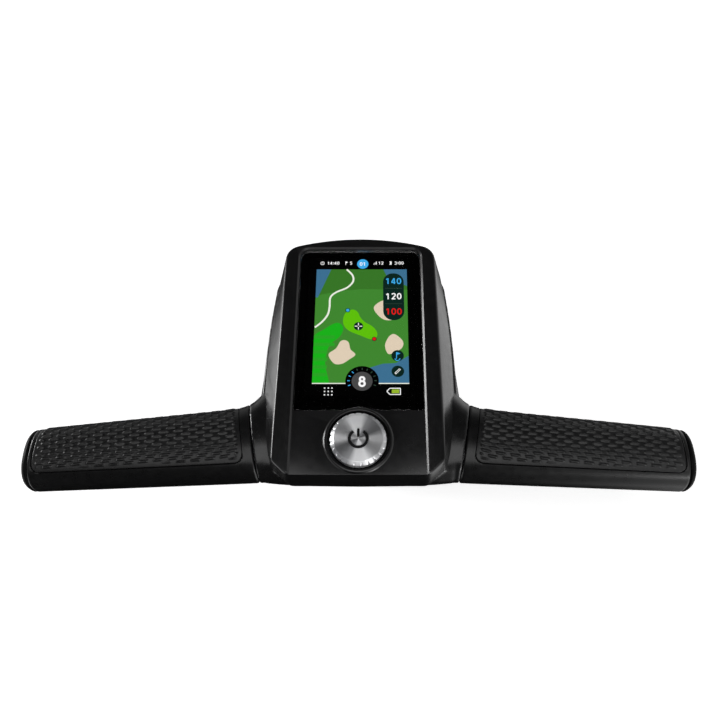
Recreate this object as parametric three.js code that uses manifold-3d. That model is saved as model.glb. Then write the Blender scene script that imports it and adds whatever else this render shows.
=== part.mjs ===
// Handle unit of an electric golf trolley: a control head with a colour display and one turn-and-press
// knob, on a cross bar with two hand grips, over a collar that clamps on the trolley's stem.
// Millimetres. Inside the group "head": x runs along the cross bar, y up the display, z out of its face,
// and the knob's axis is x = y = 0. The part's own origin is the centre of the stem collar's open end.
import * as THREE from "three";
import { mergeVertices } from "three/addons/utils/BufferGeometryUtils.js";
import Module from "manifold-3d";

const wasm = await Module();
wasm.setup();

// ---- driving dimensions -------------------------------------------------------------------------
const GAP = 0.3; // left between pieces that touch
const EXTRA = 1; // how far a cutter runs past the face that it cuts

const STEM_Y = 32; // the stem's axis, in the head's frame
const FACE_HEIGHT = 95; // face of the head above the collar's open end

// face of the head
const FACE = {
  bottom: -18.5,
  top: 125,
  halfBottom: 44.4,
  halfTop: 42.9,
  chamferX: 8,
  chamferY: 7.6,
  cornerR: 9,
  cornerY: 111.5,
  cornerTurn: 78,
};
const SKIRT_DEPTH = 20; // bezel's rear edge behind its face
const FLARE = { most: 9, y: 48, above: 93, below: 60 }; // how far the flanks lean out at the rear edge
const BEZEL_WALL = 2.6;
const PLATE_BACK = 7; // back of the face plate
const CHANNEL = { half: 34.7, depth: 1.2, top: 118 };

// display stack
const GLASS = { bottom: 16.7, top: 117.4, half: 34.3, thick: 1.8, cornerR: 5.5 };
const POCKET_DEPTH = 4.2;
const WINDOW = { half: 29.5, bottom: 19, top: 113.5 };
const PANEL = { half: 28.5, bottom: 20.5, top: 112, front: 4.4, thick: 2.8 };
const TRAY = { half: 33, bottom: 16, top: 116.5, front: 7.6, thick: 1.4 };
const BOARD = { half: 35.5, bottom: -12, top: 105, front: 14.6, thick: 1.6 };

// knob and encoder
const KNOB = { rimR: 14.5, faceR: 12.65, top: 1.6, rimZ: 0.2, bottom: -2.9, bore: 3.3 };
const RING = { innerR: 16, outerR: 18.2, floor: -4.5 };
const BUSH = { r: 4.6, top: -3, bottom: -8 };
const ENCODER = { half: 6.4, top: -8.3, bottom: -14.3, bore: 3.6 };
const SHAFT = { r: 3, top: -1, bottom: -9.1 };
const PLUNGER = { r: 2.4, top: -9.4, bottom: -12.3 };
const NUT_R = 6.4;
const SEAL = { innerR: 8.2, outerR: 10.4, top: -3.4 };
const MARK = { r: 4.6, width: 1.3, gapHalf: 0.62, barTop: 5.4, barBottom: 0.8, depth: 0.5 };

// pod behind the bezel
const POD = { lip: 1, top: 119, cornerR: 20, back: 50, wall: 2.8, bulge: 4, bulgeY: 30, bulgeSpan: 24 };
// sections of the pod from its front edge to its back: depth, how far the skin has moved in
const POD_SECTIONS = [[SKIRT_DEPTH + GAP, 0], [28, 0], [36, 0.5], [43, 3], [47.5, 6.5], [POD.back, 12]];
const POD_LEVELS = [8, 22, 36, 52, 68, 84, 99]; // heights of a section's points above its foot
const POD_FOOT = -8;
// lip of the housing under the bezel's lower edge: depth, how far the skin has moved in from the bezel's
const CHIN_SECTIONS = [[SKIRT_DEPTH + GAP, 0.2], [24, 1.2], [30, 3.6], [36, 8]];
const CHIN_TOP = 22;
// the open middle of the cross bar, under the head, narrower below the clamps
const WELL = { half: 40, near: -12.2, far: 24, step: -32, low: -8.4, back: -39.5, foot: -4 };

// cross bar and grips: a rounded section about a straight line parallel to x
const BAR = { z: -30, halfDepth: 15, power: 2.4 };
const NEAR_EDGE = { y: -13.3, slope: -0.0385, x: 65 };
const FAR_EDGE = { y: 25.2, slope: -0.112, x: 88 };
const SHOULDER = { rise: 2.8, x: 60.5, fade: 5.5, limit: 13 };
const PARTING = { x: 56.2, lean: 0.169 };
// sections of the bar's middle from its centre out: x, power, near edge, far edge
const SHOULDER_SECTIONS = [
  [0, 2.4, -14.9, 30], [30, 2.4, -14.6, 34], [43, 2.4, -13.8, 43], [50, 2.4, -13.1, 42],
];
const GRIP_START = 66;
const GRIP_STATIONS = [72, 86, 104, 124, 144, 162];
const GRIP_END = 178.6;
const CAP_JOINT = 174.6;
// sections of the grip's rounded end: x, how far the skin has moved in
const CAP_SECTIONS = [[CAP_JOINT, 0], [176.6, 0.6], [177.9, 1.9], [GRIP_END, 4]];
const PAD = { thick: 2.6, margin: 6, outer: 172, start: 129, stop: -25, step: 11 };
const TUBE = { y: 2, r: 9, wall: 1.6, half: 164 };
const CAP_PLUG = { r: 6, inner: 165, outer: 176 }; // stub that holds a grip's end cap
const GRIP_SCREW = { x: 80, seat: -42 };
const CLAMP = { x: 24, width: 10, thick: 3, foot: 4 };

// stem collar
const COLLAR = { outerR: 21, boreR: 14.3, top: 57, flangeR: 25, flange: 5, slot: 3 };
const EAR = { half: 9, reach: 32, bottom: 88, top: 68 };
const COLLAR_SCREW = { ring: 20.5, r: 1.8, headR: 3.2 };
const CLAMP_BOLT = { y: 26.5, r: 2.9, headR: 5, head: 5, socketR: 2.6, nutR: 5.3 }; // y from the stem's axis
const CONNECTOR = { r: 7.6, end: -61, inner: -45, mouthR: 5.6, pinR: 3, mouth: -54 };

// fasteners and charging socket
const POST = { x: 40.3, ys: [30, 96], r: 5, bossR: 3.6, meet: -22.7 };
const SCREW = { shankR: 1.5, headR: 3.1, head: 2.4 };
const SOCKET = { y: 86, halfW: 6.9, halfH: 3.4, depth: 12 };
const FLAP = { halfW: 10.5, low: 79.5, high: 92.4, thick: 1.5, pinY: 95.4, pinZ: -52.4, pinR: 0.8 };
const FLAP_LUG = { x: 8.6, half: 1, reach: 2, back: -54.2 };

// on the main board: edges or middle, and height above the board
const SHIELD_CAN = { half: 16, low: 74, high: 102, tall: 3 };
const ANTENNA = { half: 9, low: 86, high: 104, tall: 4 };
const BUZZER = { r: 6, x: 22, y: 34, tall: 4.5 };
const LOOM_PLUG = { half: 6, low: 62, high: 68, tall: 5 };
const LOOM_R = 2;

// finish of each material: colour, roughness, metalness
const FINISH = {
  mattePlastic: [0x17181a, 0.5, 0],
  satinPlastic: [0x1d1e20, 0.35, 0],
  softRubber: [0x141517, 0.7, 0],
  glass: [0x050506, 0.08, 0],
  display: [0x2f6b33, 0.4, 0],
  aluminium: [0xc9cacc, 0.3, 1],
  steel: [0x9a9c9f, 0.35, 1],
  blackSteel: [0x2a2b2d, 0.4, 1],
  board: [0x12452c, 0.6, 0],
  ceramic: [0xcfc6ae, 0.6, 0],
  darkMark: [0x303236, 0.5, 0],
};

// ---- helpers ------------------------------------------------------------------------------------
const DEG = Math.PI / 180;
const vec2 = (x, y) => new THREE.Vector2(x, y);
const vec3 = (x, y, z) => new THREE.Vector3(x, y, z);

// A closed three.js geometry as a solid that can be cut and joined.
function solid(geometry) {
  const bare = new THREE.BufferGeometry();
  bare.setAttribute("position", geometry.getAttribute("position"));
  bare.setIndex(geometry.index);
  const merged = mergeVertices(bare, 1e-4);
  return new wasm.Manifold(
    new wasm.Mesh({
      numProp: 3,
      vertProperties: new Float32Array(merged.getAttribute("position").array),
      triVerts: new Uint32Array(merged.index.array),
    }),
  );
}

function geometryOf(body) {
  const mesh = body.getMesh();
  const geometry = new THREE.BufferGeometry();
  geometry.setAttribute("position", new THREE.BufferAttribute(mesh.vertProperties, 3));
  geometry.setIndex(new THREE.BufferAttribute(mesh.triVerts, 1));
  geometry.computeVertexNormals();
  return geometry;
}

const join = (first, ...others) => others.reduce((whole, next) => whole.add(next), first);
const cut = (first, ...others) => others.reduce((whole, next) => whole.subtract(next), first);

function boxBetween([x0, y0, z0], [x1, y1, z1]) {
  const geometry = new THREE.BoxGeometry(x1 - x0, y1 - y0, z1 - z0);
  geometry.translate((x0 + x1) / 2, (y0 + y1) / 2, (z0 + z1) / 2);
  return solid(geometry);
}

// A cylinder along z at (x, y).
function rod(r, z0, z1, x = 0, y = 0, sides = 20) {
  const geometry = new THREE.CylinderGeometry(r, r, z1 - z0, sides);
  geometry.rotateX(Math.PI / 2);
  geometry.translate(x, y, (z0 + z1) / 2);
  return solid(geometry);
}

// A cylinder along x at (y, z).
function crossRod(r, x0, x1, y, z, sides = 20) {
  const geometry = new THREE.CylinderGeometry(r, r, x1 - x0, sides);
  geometry.rotateZ(Math.PI / 2);
  geometry.translate((x0 + x1) / 2, y, z);
  return solid(geometry);
}

// A body of revolution about z through (x, y); its profile lists [radius, z] anticlockwise.
function turned(profile, x = 0, y = 0, sides = 32) {
  const points = profile.map(([r, z]) => vec2(r, z));
  points.push(points[0].clone());
  const geometry = new THREE.LatheGeometry(points, sides);
  geometry.rotateX(Math.PI / 2);
  geometry.translate(x, y, 0);
  const body = solid(geometry);
  if (body.volume() > 0) return body;
  return solid(flipped(geometry));
}

function flipped(geometry) {
  const copy = geometry.clone();
  const index = copy.index.array;
  for (let i = 0; i < index.length; i += 3) {
    [index[i + 1], index[i + 2]] = [index[i + 2], index[i + 1]];
  }
  return copy;
}

function plate(points, z0, z1) {
  const geometry = new THREE.ExtrudeGeometry(new THREE.Shape(points), {
    depth: z1 - z0,
    bevelEnabled: false,
  });
  geometry.translate(0, 0, z0);
  return solid(geometry);
}

// A skin over a row of closed rings with the same number of points, capped flat at both ends.
function loft(rings, flatten) {
  const count = rings[0].length;
  const positions = rings.flat().flatMap((p) => [p.x, p.y, p.z]);
  const faces = [];
  for (let r = 0; r + 1 < rings.length; r += 1) {
    for (let i = 0; i < count; i += 1) {
      const a = r * count + i;
      const b = r * count + ((i + 1) % count);
      faces.push(a, b, b + count, a, b + count, a + count);
    }
  }
  const last = (rings.length - 1) * count;
  const anticlockwise = THREE.ShapeUtils.area(rings[0].map(flatten)) > 0;
  const cap = (ring, offset, turnedOver) => {
    for (const [a, b, c] of THREE.ShapeUtils.triangulateShape(ring.map(flatten), [])) {
      if (turnedOver === anticlockwise) faces.push(offset + a, offset + c, offset + b);
      else faces.push(offset + a, offset + b, offset + c);
    }
  };
  cap(rings[0], 0, true);
  cap(rings.at(-1), last, false);
  const geometry = new THREE.BufferGeometry();
  geometry.setAttribute("position", new THREE.Float32BufferAttribute(positions, 3));
  geometry.setIndex(faces);
  const body = solid(geometry);
  return body.volume() > 0 ? body : solid(flipped(geometry));
}
const onFace = (p) => vec2(p.x, p.y);
const onSide = (p) => vec2(p.y, p.z);

function roundedBox(halfX, y0, y1, r, z0, z1) {
  const shape = new THREE.Shape();
  shape.moveTo(-halfX + r, y0);
  shape.lineTo(halfX - r, y0);
  shape.absarc(halfX - r, y0 + r, r, -Math.PI / 2, 0, false);
  shape.absarc(halfX - r, y1 - r, r, 0, Math.PI / 2, false);
  shape.absarc(-halfX + r, y1 - r, r, Math.PI / 2, Math.PI, false);
  shape.absarc(-halfX + r, y0 + r, r, Math.PI, 1.5 * Math.PI, false);
  const geometry = new THREE.ExtrudeGeometry(shape, {
    depth: z1 - z0,
    bevelEnabled: false,
    curveSegments: 4,
  });
  geometry.translate(0, 0, z0);
  return solid(geometry);
}

// ---- form of the head ---------------------------------------------------------------------------
// How far the flank leans out at the bezel's rear edge, at height y.
function flare(y) {
  const t = y > FLARE.y ? (y - FLARE.y) / FLARE.above : (FLARE.y - y) / FLARE.below;
  return FLARE.most * Math.max(0, 1 - (y > FLARE.y ? t ** 2 : t ** 4));
}

// Half width of the face at height y, along its straight sides.
function faceHalf(y) {
  const t = (y - FACE.bottom) / (FACE.cornerY - FACE.bottom);
  return FACE.halfBottom + (FACE.halfTop - FACE.halfBottom) * t;
}

// Right half of the face's outline from the bottom middle to the top middle.
function faceHalfOutline() {
  const sideLevels = [4, 20, 36, 54, 72, 92];
  const points = [
    vec2(0, FACE.bottom),
    vec2(FACE.halfBottom - FACE.chamferX, FACE.bottom),
    vec2(FACE.halfBottom, FACE.bottom + FACE.chamferY),
  ];
  for (const y of sideLevels) points.push(vec2(faceHalf(y), y));
  const cornerX = FACE.halfTop - FACE.cornerR;
  const cornerSteps = 5;
  for (let i = 0; i <= cornerSteps; i += 1) {
    const turn = ((i / cornerSteps) * FACE.cornerTurn) * DEG;
    points.push(vec2(cornerX + FACE.cornerR * Math.cos(turn), FACE.cornerY + FACE.cornerR * Math.sin(turn)));
  }
  const end = points.at(-1);
  const crownSteps = 4;
  for (let i = 1; i <= crownSteps; i += 1) {
    const x = end.x * (1 - i / crownSteps);
    points.push(vec2(x, FACE.top - (FACE.top - end.y) * (x / end.x) ** 2));
  }
  return points;
}

// Ring of the bezel's skin at a depth behind the face, moved in by inset.
function bezelRing(depth, inset) {
  const half = faceHalfOutline().map((p) => {
    const lean = (flare(p.y) * depth) / SKIRT_DEPTH;
    const inward = 1 - inset / FACE.halfBottom;
    const middle = (FACE.top + FACE.bottom) / 2;
    const shrinkY = 1 - (2 * inset) / (FACE.top - FACE.bottom);
    const x = p.x * inward + (p.x > 1 ? lean * Math.min(1, p.x / FACE.halfTop) : 0);
    return vec3(x, middle + (p.y - middle) * shrinkY, -depth);
  });
  const left = half.slice(1, -1).reverse().map((p) => vec3(-p.x, p.y, p.z));
  return [...half, ...left];
}

// Ring of the pod's skin at a depth, moved in by inset; its lower end lies inside the cross bar.
function podRing(depth, inset) {
  const points = [];
  const levels = [POD_FOOT + inset, ...POD_LEVELS];
  const swell = Math.sin(Math.min(1, (depth - SKIRT_DEPTH) / (POD.back - SKIRT_DEPTH)) * Math.PI * 0.75);
  for (const y of levels) {
    const bulge = POD.bulge * Math.exp(-(((y - POD.bulgeY) / POD.bulgeSpan) ** 2)) * Math.max(0, swell);
    points.push(vec3(faceHalf(y) + flare(Math.max(y, 12)) + POD.lip + bulge - inset, y, -depth));
  }
  const start = points.at(-1);
  const steps = 5;
  for (let i = 1; i <= steps; i += 1) {
    const turn = (i / steps) * Math.PI * 0.5;
    const x = start.x - POD.cornerR * (1 - Math.cos(turn));
    const y = start.y + (POD.top - inset - start.y) * Math.sin(turn);
    points.push(vec3(x, y, -depth));
  }
  return [...points, ...points.map((p) => vec3(-p.x, p.y, p.z)).reverse()];
}

// ---- form of the cross bar ----------------------------------------------------------------------
const nearEdge = (x) => NEAR_EDGE.y + NEAR_EDGE.slope * (x - NEAR_EDGE.x);

function farEdge(x) {
  const rise = SHOULDER.rise * Math.exp(-(x - SHOULDER.x) / SHOULDER.fade);
  return FAR_EDGE.y + FAR_EDGE.slope * (x - FAR_EDGE.x) + Math.min(rise, SHOULDER.limit);
}

// Point of the bar's section at x: turn 0 is the far side, 90 the top, 180 the side near the golfer.
function barPoint(x, turn, power = BAR.power, inset = 0, near = nearEdge(x), far = farEdge(x)) {
  const middle = (near + far) / 2;
  const half = (far - near) / 2 - inset;
  const depth = BAR.halfDepth - inset;
  const c = Math.cos(turn * DEG);
  const s = Math.sin(turn * DEG);
  const y = middle + half * Math.sign(c) * Math.abs(c) ** (2 / power);
  const z = BAR.z + depth * Math.sign(s) * Math.abs(s) ** (2 / power);
  return [y, z];
}

// x of the joint face between shoulder and grip at height y, moved outward by out.
const partingX = (y, out = 0) => PARTING.x + PARTING.lean * y + out;

// Point of the bar's skin on the joint face moved outward by out.
function partingPoint(turn, inset, out) {
  let [y, z] = barPoint(PARTING.x + out, turn, BAR.power, inset);
  for (let pass = 0; pass < 3; pass += 1) {
    [y, z] = barPoint(partingX(y, out), turn, BAR.power, inset);
  }
  return vec3(partingX(y, out), y, z);
}

const RING_STEPS = 24;
const ringTurns = Array.from({ length: RING_STEPS }, (_, i) => (360 / RING_STEPS) * i);

// Middle of the bar, between the two grips, as one body.
function shoulderBody(grow) {
  const rings = SHOULDER_SECTIONS.map(([x, power, near, far]) =>
    ringTurns.map((turn) => {
      const [y, z] = barPoint(x, turn, power, -grow, near, far);
      return vec3(x, y, z);
    }),
  );
  rings.push(ringTurns.map((turn) => partingPoint(turn, -grow, grow)));
  const mirrored = rings.slice(1).map((ring) => ring.map((p) => vec3(-p.x, p.y, p.z)));
  return loft([...mirrored.reverse(), ...rings], onSide);
}

// Body of one grip between two ends, its skin moved in by inset. side is -1 for left, 1 for right.
function gripBody(side, startOut, endX, inset, turns = ringTurns, closeEnd = false) {
  const first = turns.map((turn) => toSide(side, partingPoint(turn, inset, startOut)));
  const rings = [first, turns.map((turn) => toSection(side, GRIP_START, turn, inset))];
  for (const x of GRIP_STATIONS) {
    rings.push(turns.map((turn) => toSection(side, x, turn, inset)));
  }
  if (!closeEnd) {
    rings.push(turns.map((turn) => toSection(side, endX, turn, inset)));
    return loft(rings, onSide);
  }
  for (const [x, more] of CAP_SECTIONS) {
    rings.push(turns.map((turn) => toSection(side, x, turn, inset + more)));
  }
  return loft(rings, onSide);
}

const toSide = (side, p) => vec3(side * p.x, p.y, p.z);

function toSection(side, x, turn, inset) {
  const [y, z] = barPoint(x, turn, BAR.power, inset);
  return vec3(side * x, y, z);
}

// ---- parts --------------------------------------------------------------------------------------
const head = new THREE.Group();
head.position.set(0, -STEM_Y, FACE_HEIGHT);
const part = new THREE.Group();
part.add(head);

function add(name, body, finish) {
  const [color, roughness, metalness] = FINISH[finish];
  const material = new THREE.MeshStandardMaterial({ color, roughness, metalness });
  const mesh = new THREE.Mesh(geometryOf(body), material);
  mesh.name = name;
  head.add(mesh);
}

const tubeHole = (x0, x1) => crossRod(TUBE.r + GAP, x0, x1, TUBE.y, BAR.z);
const postPlaces = POST.ys.flatMap((y) => [-POST.x, POST.x].map((x) => [x, y]));
const collarPlaces = [45, 135, 225, 315].map((turn) => [
  COLLAR_SCREW.ring * Math.cos(turn * DEG),
  STEM_Y + COLLAR_SCREW.ring * Math.sin(turn * DEG),
]);

function consoleBezel() {
  const skin = loft([bezelRing(SKIRT_DEPTH, 0), bezelRing(0.8, 0), bezelRing(0, 0.8)], onFace);
  const hollow = loft([bezelRing(SKIRT_DEPTH + EXTRA, BEZEL_WALL), bezelRing(PLATE_BACK, BEZEL_WALL)], onFace);
  const channel = roundedBox(CHANNEL.half, FACE.bottom - 9, CHANNEL.top, GLASS.cornerR, -CHANNEL.depth, EXTRA);
  const pocket = roundedBox(
    GLASS.half + GAP, GLASS.bottom - GAP, GLASS.top + GAP, GLASS.cornerR, -POCKET_DEPTH, EXTRA,
  );
  const window = boxBetween(
    [-WINDOW.half, WINDOW.bottom, -PLATE_BACK - EXTRA], [WINDOW.half, WINDOW.top, EXTRA],
  );
  const ring = turned([
    [RING.innerR, RING.floor], [RING.outerR, RING.floor], [RING.outerR, -CHANNEL.depth],
    [RING.outerR - 0.7, -0.2], [RING.innerR + 0.5, 0], [RING.innerR, -0.4],
  ]);
  const well = rod(RING.innerR, RING.floor, EXTRA, 0, 0, 48);
  const bushHole = rod(BUSH.r + GAP, -PLATE_BACK - EXTRA, 0);
  const bosses = postPlaces.map(([x, y]) => rod(POST.bossR, POST.meet + GAP, -PLATE_BACK + 0.5, x, y, 16));
  const pilots = postPlaces.map(([x, y]) => rod(SCREW.shankR + GAP, POST.meet, -11, x, y, 12));
  const shell = cut(skin, hollow);
  const faced = cut(join(cut(shell, channel, pocket, well), ring), window, bushHole);
  return cut(join(faced, ...bosses), ...pilots, shoulderBody(GAP));
}

function tub() {
  const outline = (inset) => bezelRing(SKIRT_DEPTH, inset).map((p) => vec2(p.x, Math.max(p.y, WELL.foot)));
  const lower = outline(POD.wall + 1);
  const mid = outline(POD.wall + 5);
  const toRing = (points, z, top) => points.map((p) => vec3(p.x, Math.min(p.y, top), z));
  return loft(
    [
      toRing(mid, -POD.back + POD.wall, 110),
      toRing(lower, -40, 113),
      toRing(lower, -SKIRT_DEPTH + 6, 115),
    ],
    onFace,
  );
}

function rearHousing() {
  const pod = loft(POD_SECTIONS.map(([depth, inset]) => podRing(depth, inset)).reverse(), onFace);
  const below = boxBetween([-POD.back, FACE.bottom - EXTRA, -POD.back], [POD.back, CHIN_TOP, 0]);
  const chin = loft(CHIN_SECTIONS.map(([depth, inset]) => bezelRing(depth, inset)), onFace).intersect(below);
  const outer = join(pod, shoulderBody(0), chin);
  const openTop = join(
    boxBetween([-WELL.half, WELL.near, WELL.step], [WELL.half, WELL.far, 0]),
    boxBetween([-WELL.half, WELL.low, WELL.back], [WELL.half, WELL.far, WELL.step + EXTRA]),
  );
  const cradles = [-CLAMP.x, CLAMP.x].map((x) =>
    boxBetween([x - CLAMP.width / 2, -10, -43], [x + CLAMP.width / 2, 18, BAR.z - GAP / 2]),
  );
  const posts = postPlaces.map(([x, y]) => rod(POST.r, -48, POST.meet, x, y, 20));
  const postHoles = postPlaces.flatMap(([x, y]) => [
    rod(SCREW.headR + GAP, -POD.back - EXTRA, -26, x, y, 16),
    rod(SCREW.shankR + GAP, -27, POST.meet + EXTRA, x, y, 12),
  ]);
  const collarHoles = collarPlaces.map(([x, y]) => rod(COLLAR_SCREW.r + GAP, -POD.back - EXTRA, -44, x, y, 12));
  const lugs = [-FLAP_LUG.x, FLAP_LUG.x].map((x) =>
    boxBetween(
      [x - FLAP_LUG.half, FLAP.pinY - FLAP_LUG.reach, FLAP_LUG.back],
      [x + FLAP_LUG.half, FLAP.pinY + FLAP_LUG.reach, -POD.back + EXTRA],
    ),
  );
  const pinHole = crossRod(FLAP.pinR + GAP, -12, 12, FLAP.pinY, FLAP.pinZ, 12);
  const socketHole = boxBetween(
    [-SOCKET.halfW - GAP, SOCKET.y - SOCKET.halfH - GAP, -POD.back - EXTRA],
    [SOCKET.halfW + GAP, SOCKET.y + SOCKET.halfH + GAP, -44],
  );
  const connectorHole = rod(CONNECTOR.r + GAP, -POD.back - EXTRA, -44, 0, STEM_Y, 24);
  const open = cut(outer, tub(), openTop);
  const fitted = cut(join(open, ...cradles, ...posts, ...lugs), tubeHole(-90, 90));
  return cut(fitted, ...postHoles, ...collarHoles, pinHole, socketHole, connectorHole);
}

function gripParts(side, label) {
  const padTurns = [];
  for (let t = PAD.start; t >= PAD.stop; t -= PAD.step) padTurns.push(t);
  const sector = (startOut, endX, top, bottom, widen) => {
    const turns = padTurns.map((t, i) => {
      if (i === 0) return t + widen;
      return i === padTurns.length - 1 ? t - widen : t;
    });
    const stations = [...GRIP_STATIONS, endX];
    const ring = (pointAt) => [
      ...turns.map((t) => pointAt(t, top)),
      ...[...turns].reverse().map((t) => pointAt(t, bottom)),
    ];
    const first = ring((t, inset) => toSide(side, partingPoint(t, inset, startOut)));
    const rings = stations.map((x) => ring((t, inset) => toSection(side, x, t, inset)));
    return loft([first, ...rings], onSide);
  };
  const pad = sector(PAD.margin, PAD.outer, 0, PAD.thick, 0);
  const recess = sector(PAD.margin - GAP, PAD.outer + GAP, -2, PAD.thick + GAP, 1.2);
  const along = (r, inner, outer) => {
    const [x0, x1] = side < 0 ? [-outer, -inner] : [inner, outer];
    return crossRod(r, x0, x1, TUBE.y, BAR.z);
  };
  const bore = along(TUBE.r + GAP, 50, TUBE.half + 4);
  const plugHole = along(CAP_PLUG.r, 160, GRIP_END + 10);
  const screwX = side * GRIP_SCREW.x;
  const screwHole = join(
    rod(SCREW.shankR + GAP, -60, BAR.z - TUBE.r + 3, screwX, TUBE.y, 12),
    rod(SCREW.headR + GAP, -60, GRIP_SCREW.seat, screwX, TUBE.y, 16),
  );
  const shell = cut(gripBody(side, GAP, CAP_JOINT - GAP, 0), recess, bore, plugHole, screwHole);
  add("grip_shell_" + label, shell, "satinPlastic");
  add("grip_pad_" + label, pad, "softRubber");
  const beyond = GRIP_END + 20;
  const capSpan = boxBetween(
    side < 0 ? [-beyond, -60, -80] : [CAP_JOINT, -60, -80],
    side < 0 ? [-CAP_JOINT, 80, 20] : [beyond, 80, 20],
  );
  const plug = along(CAP_PLUG.r - GAP, CAP_PLUG.inner, CAP_PLUG.outer);
  const dome = gripBody(side, GAP, GRIP_END, 0, ringTurns, true).intersect(capSpan);
  add("grip_cap_" + label, join(dome, plug), "mattePlastic");
  const seat = GRIP_SCREW.seat - GAP;
  const screw = join(
    rod(SCREW.headR, seat - SCREW.head, seat, screwX, TUBE.y, 16),
    rod(SCREW.shankR, seat - 0.7, BAR.z - TUBE.r + 2.5, screwX, TUBE.y, 12),
  );
  add("grip_screw_" + label, screw, "steel");
}

function crossbarTube() {
  const outer = crossRod(TUBE.r, -TUBE.half, TUBE.half, TUBE.y, BAR.z);
  const inner = crossRod(TUBE.r - TUBE.wall, -TUBE.half - EXTRA, TUBE.half + EXTRA, TUBE.y, BAR.z);
  const holes = [-GRIP_SCREW.x, GRIP_SCREW.x].map((x) => rod(SCREW.shankR + GAP, -60, BAR.z, x, TUBE.y, 12));
  return cut(outer, inner, ...holes);
}

function crossbarClamp(x) {
  const r = TUBE.r + GAP;
  const arch = crossRod(r + CLAMP.thick, x - CLAMP.width / 2, x + CLAMP.width / 2, TUBE.y, BAR.z);
  const feet = boxBetween(
    [x - CLAMP.width / 2, TUBE.y - r - CLAMP.foot, BAR.z],
    [x + CLAMP.width / 2, TUBE.y + r + CLAMP.foot, BAR.z + CLAMP.thick],
  );
  const above = boxBetween([x - 20, -40, BAR.z + GAP], [x + 20, 60, 0]);
  return cut(join(arch, feet).intersect(above), crossRod(r, x - 20, x + 20, TUBE.y, BAR.z));
}

function displayStack() {
  const glassTop = -CHANNEL.depth - 0.1;
  const ringNotch = rod(RING.outerR + GAP, -9, EXTRA, 0, 0, 48);
  const lens = roundedBox(
    GLASS.half, GLASS.bottom, GLASS.top, GLASS.cornerR - GAP, glassTop - GLASS.thick, glassTop,
  );
  add("cover_glass", cut(lens, ringNotch), "glass");
  const foot = -POCKET_DEPTH + GAP;
  const margin = 0.4;
  const gasket = cut(
    roundedBox(
      GLASS.half - margin, GLASS.bottom + margin, GLASS.top - margin, GLASS.cornerR - 1, foot, foot + 0.5,
    ),
    boxBetween([-WINDOW.half - 0.5, WINDOW.bottom - 0.5, -9], [WINDOW.half + 0.5, WINDOW.top + 0.5, 0]),
    ringNotch,
  );
  add("glass_gasket", gasket, "softRubber");
  add("display_panel", roundedBox(
    PANEL.half, PANEL.bottom, PANEL.top, 1, -PANEL.front - PANEL.thick, -PANEL.front,
  ), "display");
  const tray = cut(
    roundedBox(TRAY.half, TRAY.bottom, TRAY.top, 2, -TRAY.front - TRAY.thick, -PLATE_BACK - GAP),
    boxBetween([-PANEL.half - 1, PANEL.bottom - 1, -TRAY.front], [PANEL.half + 1, PANEL.top + 1, 0]),
  );
  add("display_frame", tray, "steel");
}

function electronics() {
  const back = -BOARD.front - BOARD.thick;
  const board = boxBetween([-BOARD.half, BOARD.bottom, back], [BOARD.half, BOARD.top, -BOARD.front]);
  add("main_board", board, "board");
  const onBack = back - GAP;
  const behind = ({ half, low, high, tall }) => boxBetween([-half, low, onBack - tall], [half, high, onBack]);
  add("shield_can", behind(SHIELD_CAN), "steel");
  const { half, low, high, tall } = ANTENNA;
  const patch = boxBetween([-half, low, -BOARD.front + GAP], [half, high, -BOARD.front + tall]);
  add("gps_antenna", patch, "ceramic");
  add("buzzer", rod(BUZZER.r, onBack - BUZZER.tall, onBack, BUZZER.x, BUZZER.y), "mattePlastic");
  add("loom_plug", behind(LOOM_PLUG), "ceramic");
}

function encoder() {
  const bore = rod(ENCODER.bore, ENCODER.bottom + 0.8, 0);
  const body = boxBetween(
    [-ENCODER.half, -ENCODER.half, ENCODER.bottom], [ENCODER.half, ENCODER.half, ENCODER.top],
  );
  add("encoder_body", cut(body, bore), "mattePlastic");
  add("encoder_bush", cut(rod(BUSH.r, BUSH.bottom, BUSH.top), rod(KNOB.bore, -20, 20)), "steel");
  const nut = cut(rod(NUT_R, RING.floor + GAP, -3.1, 0, 0, 6), rod(BUSH.r + GAP, -20, 20));
  add("encoder_nut", nut, "steel");
  const sealFoot = RING.floor + GAP;
  const seal = turned([
    [SEAL.innerR, sealFoot], [SEAL.outerR, sealFoot], [SEAL.outerR, SEAL.top], [SEAL.innerR, SEAL.top],
  ]);
  add("knob_seal", seal, "softRubber");
  add("encoder_shaft", rod(SHAFT.r, SHAFT.bottom, SHAFT.top), "steel");
  add("encoder_plunger", rod(PLUNGER.r, PLUNGER.bottom, PLUNGER.top), "mattePlastic");
  const domeProfile = [
    [2.2, -13.2], [2.9, -13.2], [2.9, -13], [1.2, -12.6], [0, -12.6], [0, -12.8], [1.1, -12.8],
  ];
  add("switch_dome", turned(domeProfile, 0, 0, 24), "steel");
}

function knob() {
  const { rimR, faceR, top, rimZ, bottom } = KNOB;
  const inner = rimR - 1.6;
  const cap = turned([
    [0, -0.4], [inner, -0.4], [inner, bottom], [rimR - 0.4, bottom], [rimR, bottom + 0.4],
    [rimR, rimZ], [faceR, top], [0, top],
  ], 0, 0, 48);
  const markFloor = top - MARK.depth;
  const ringPocket = markRing(GAP, markFloor - GAP, top + EXTRA);
  const barPocket = markBar(GAP, markFloor - GAP, top + EXTRA);
  add("knob_cap", cut(cap, ringPocket, barPocket), "aluminium");
  add("knob_mark_ring", markRing(0, markFloor, top - 0.05), "darkMark");
  add("knob_mark_bar", markBar(0, markFloor, top - 0.05), "darkMark");
  const insert = turned([
    [SHAFT.r + GAP, -2.2], [inner - GAP, -2.2], [inner - GAP, -0.4 - GAP], [SHAFT.r + GAP, -0.4 - GAP],
  ]);
  add("knob_insert", insert, "mattePlastic");
}

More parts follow.
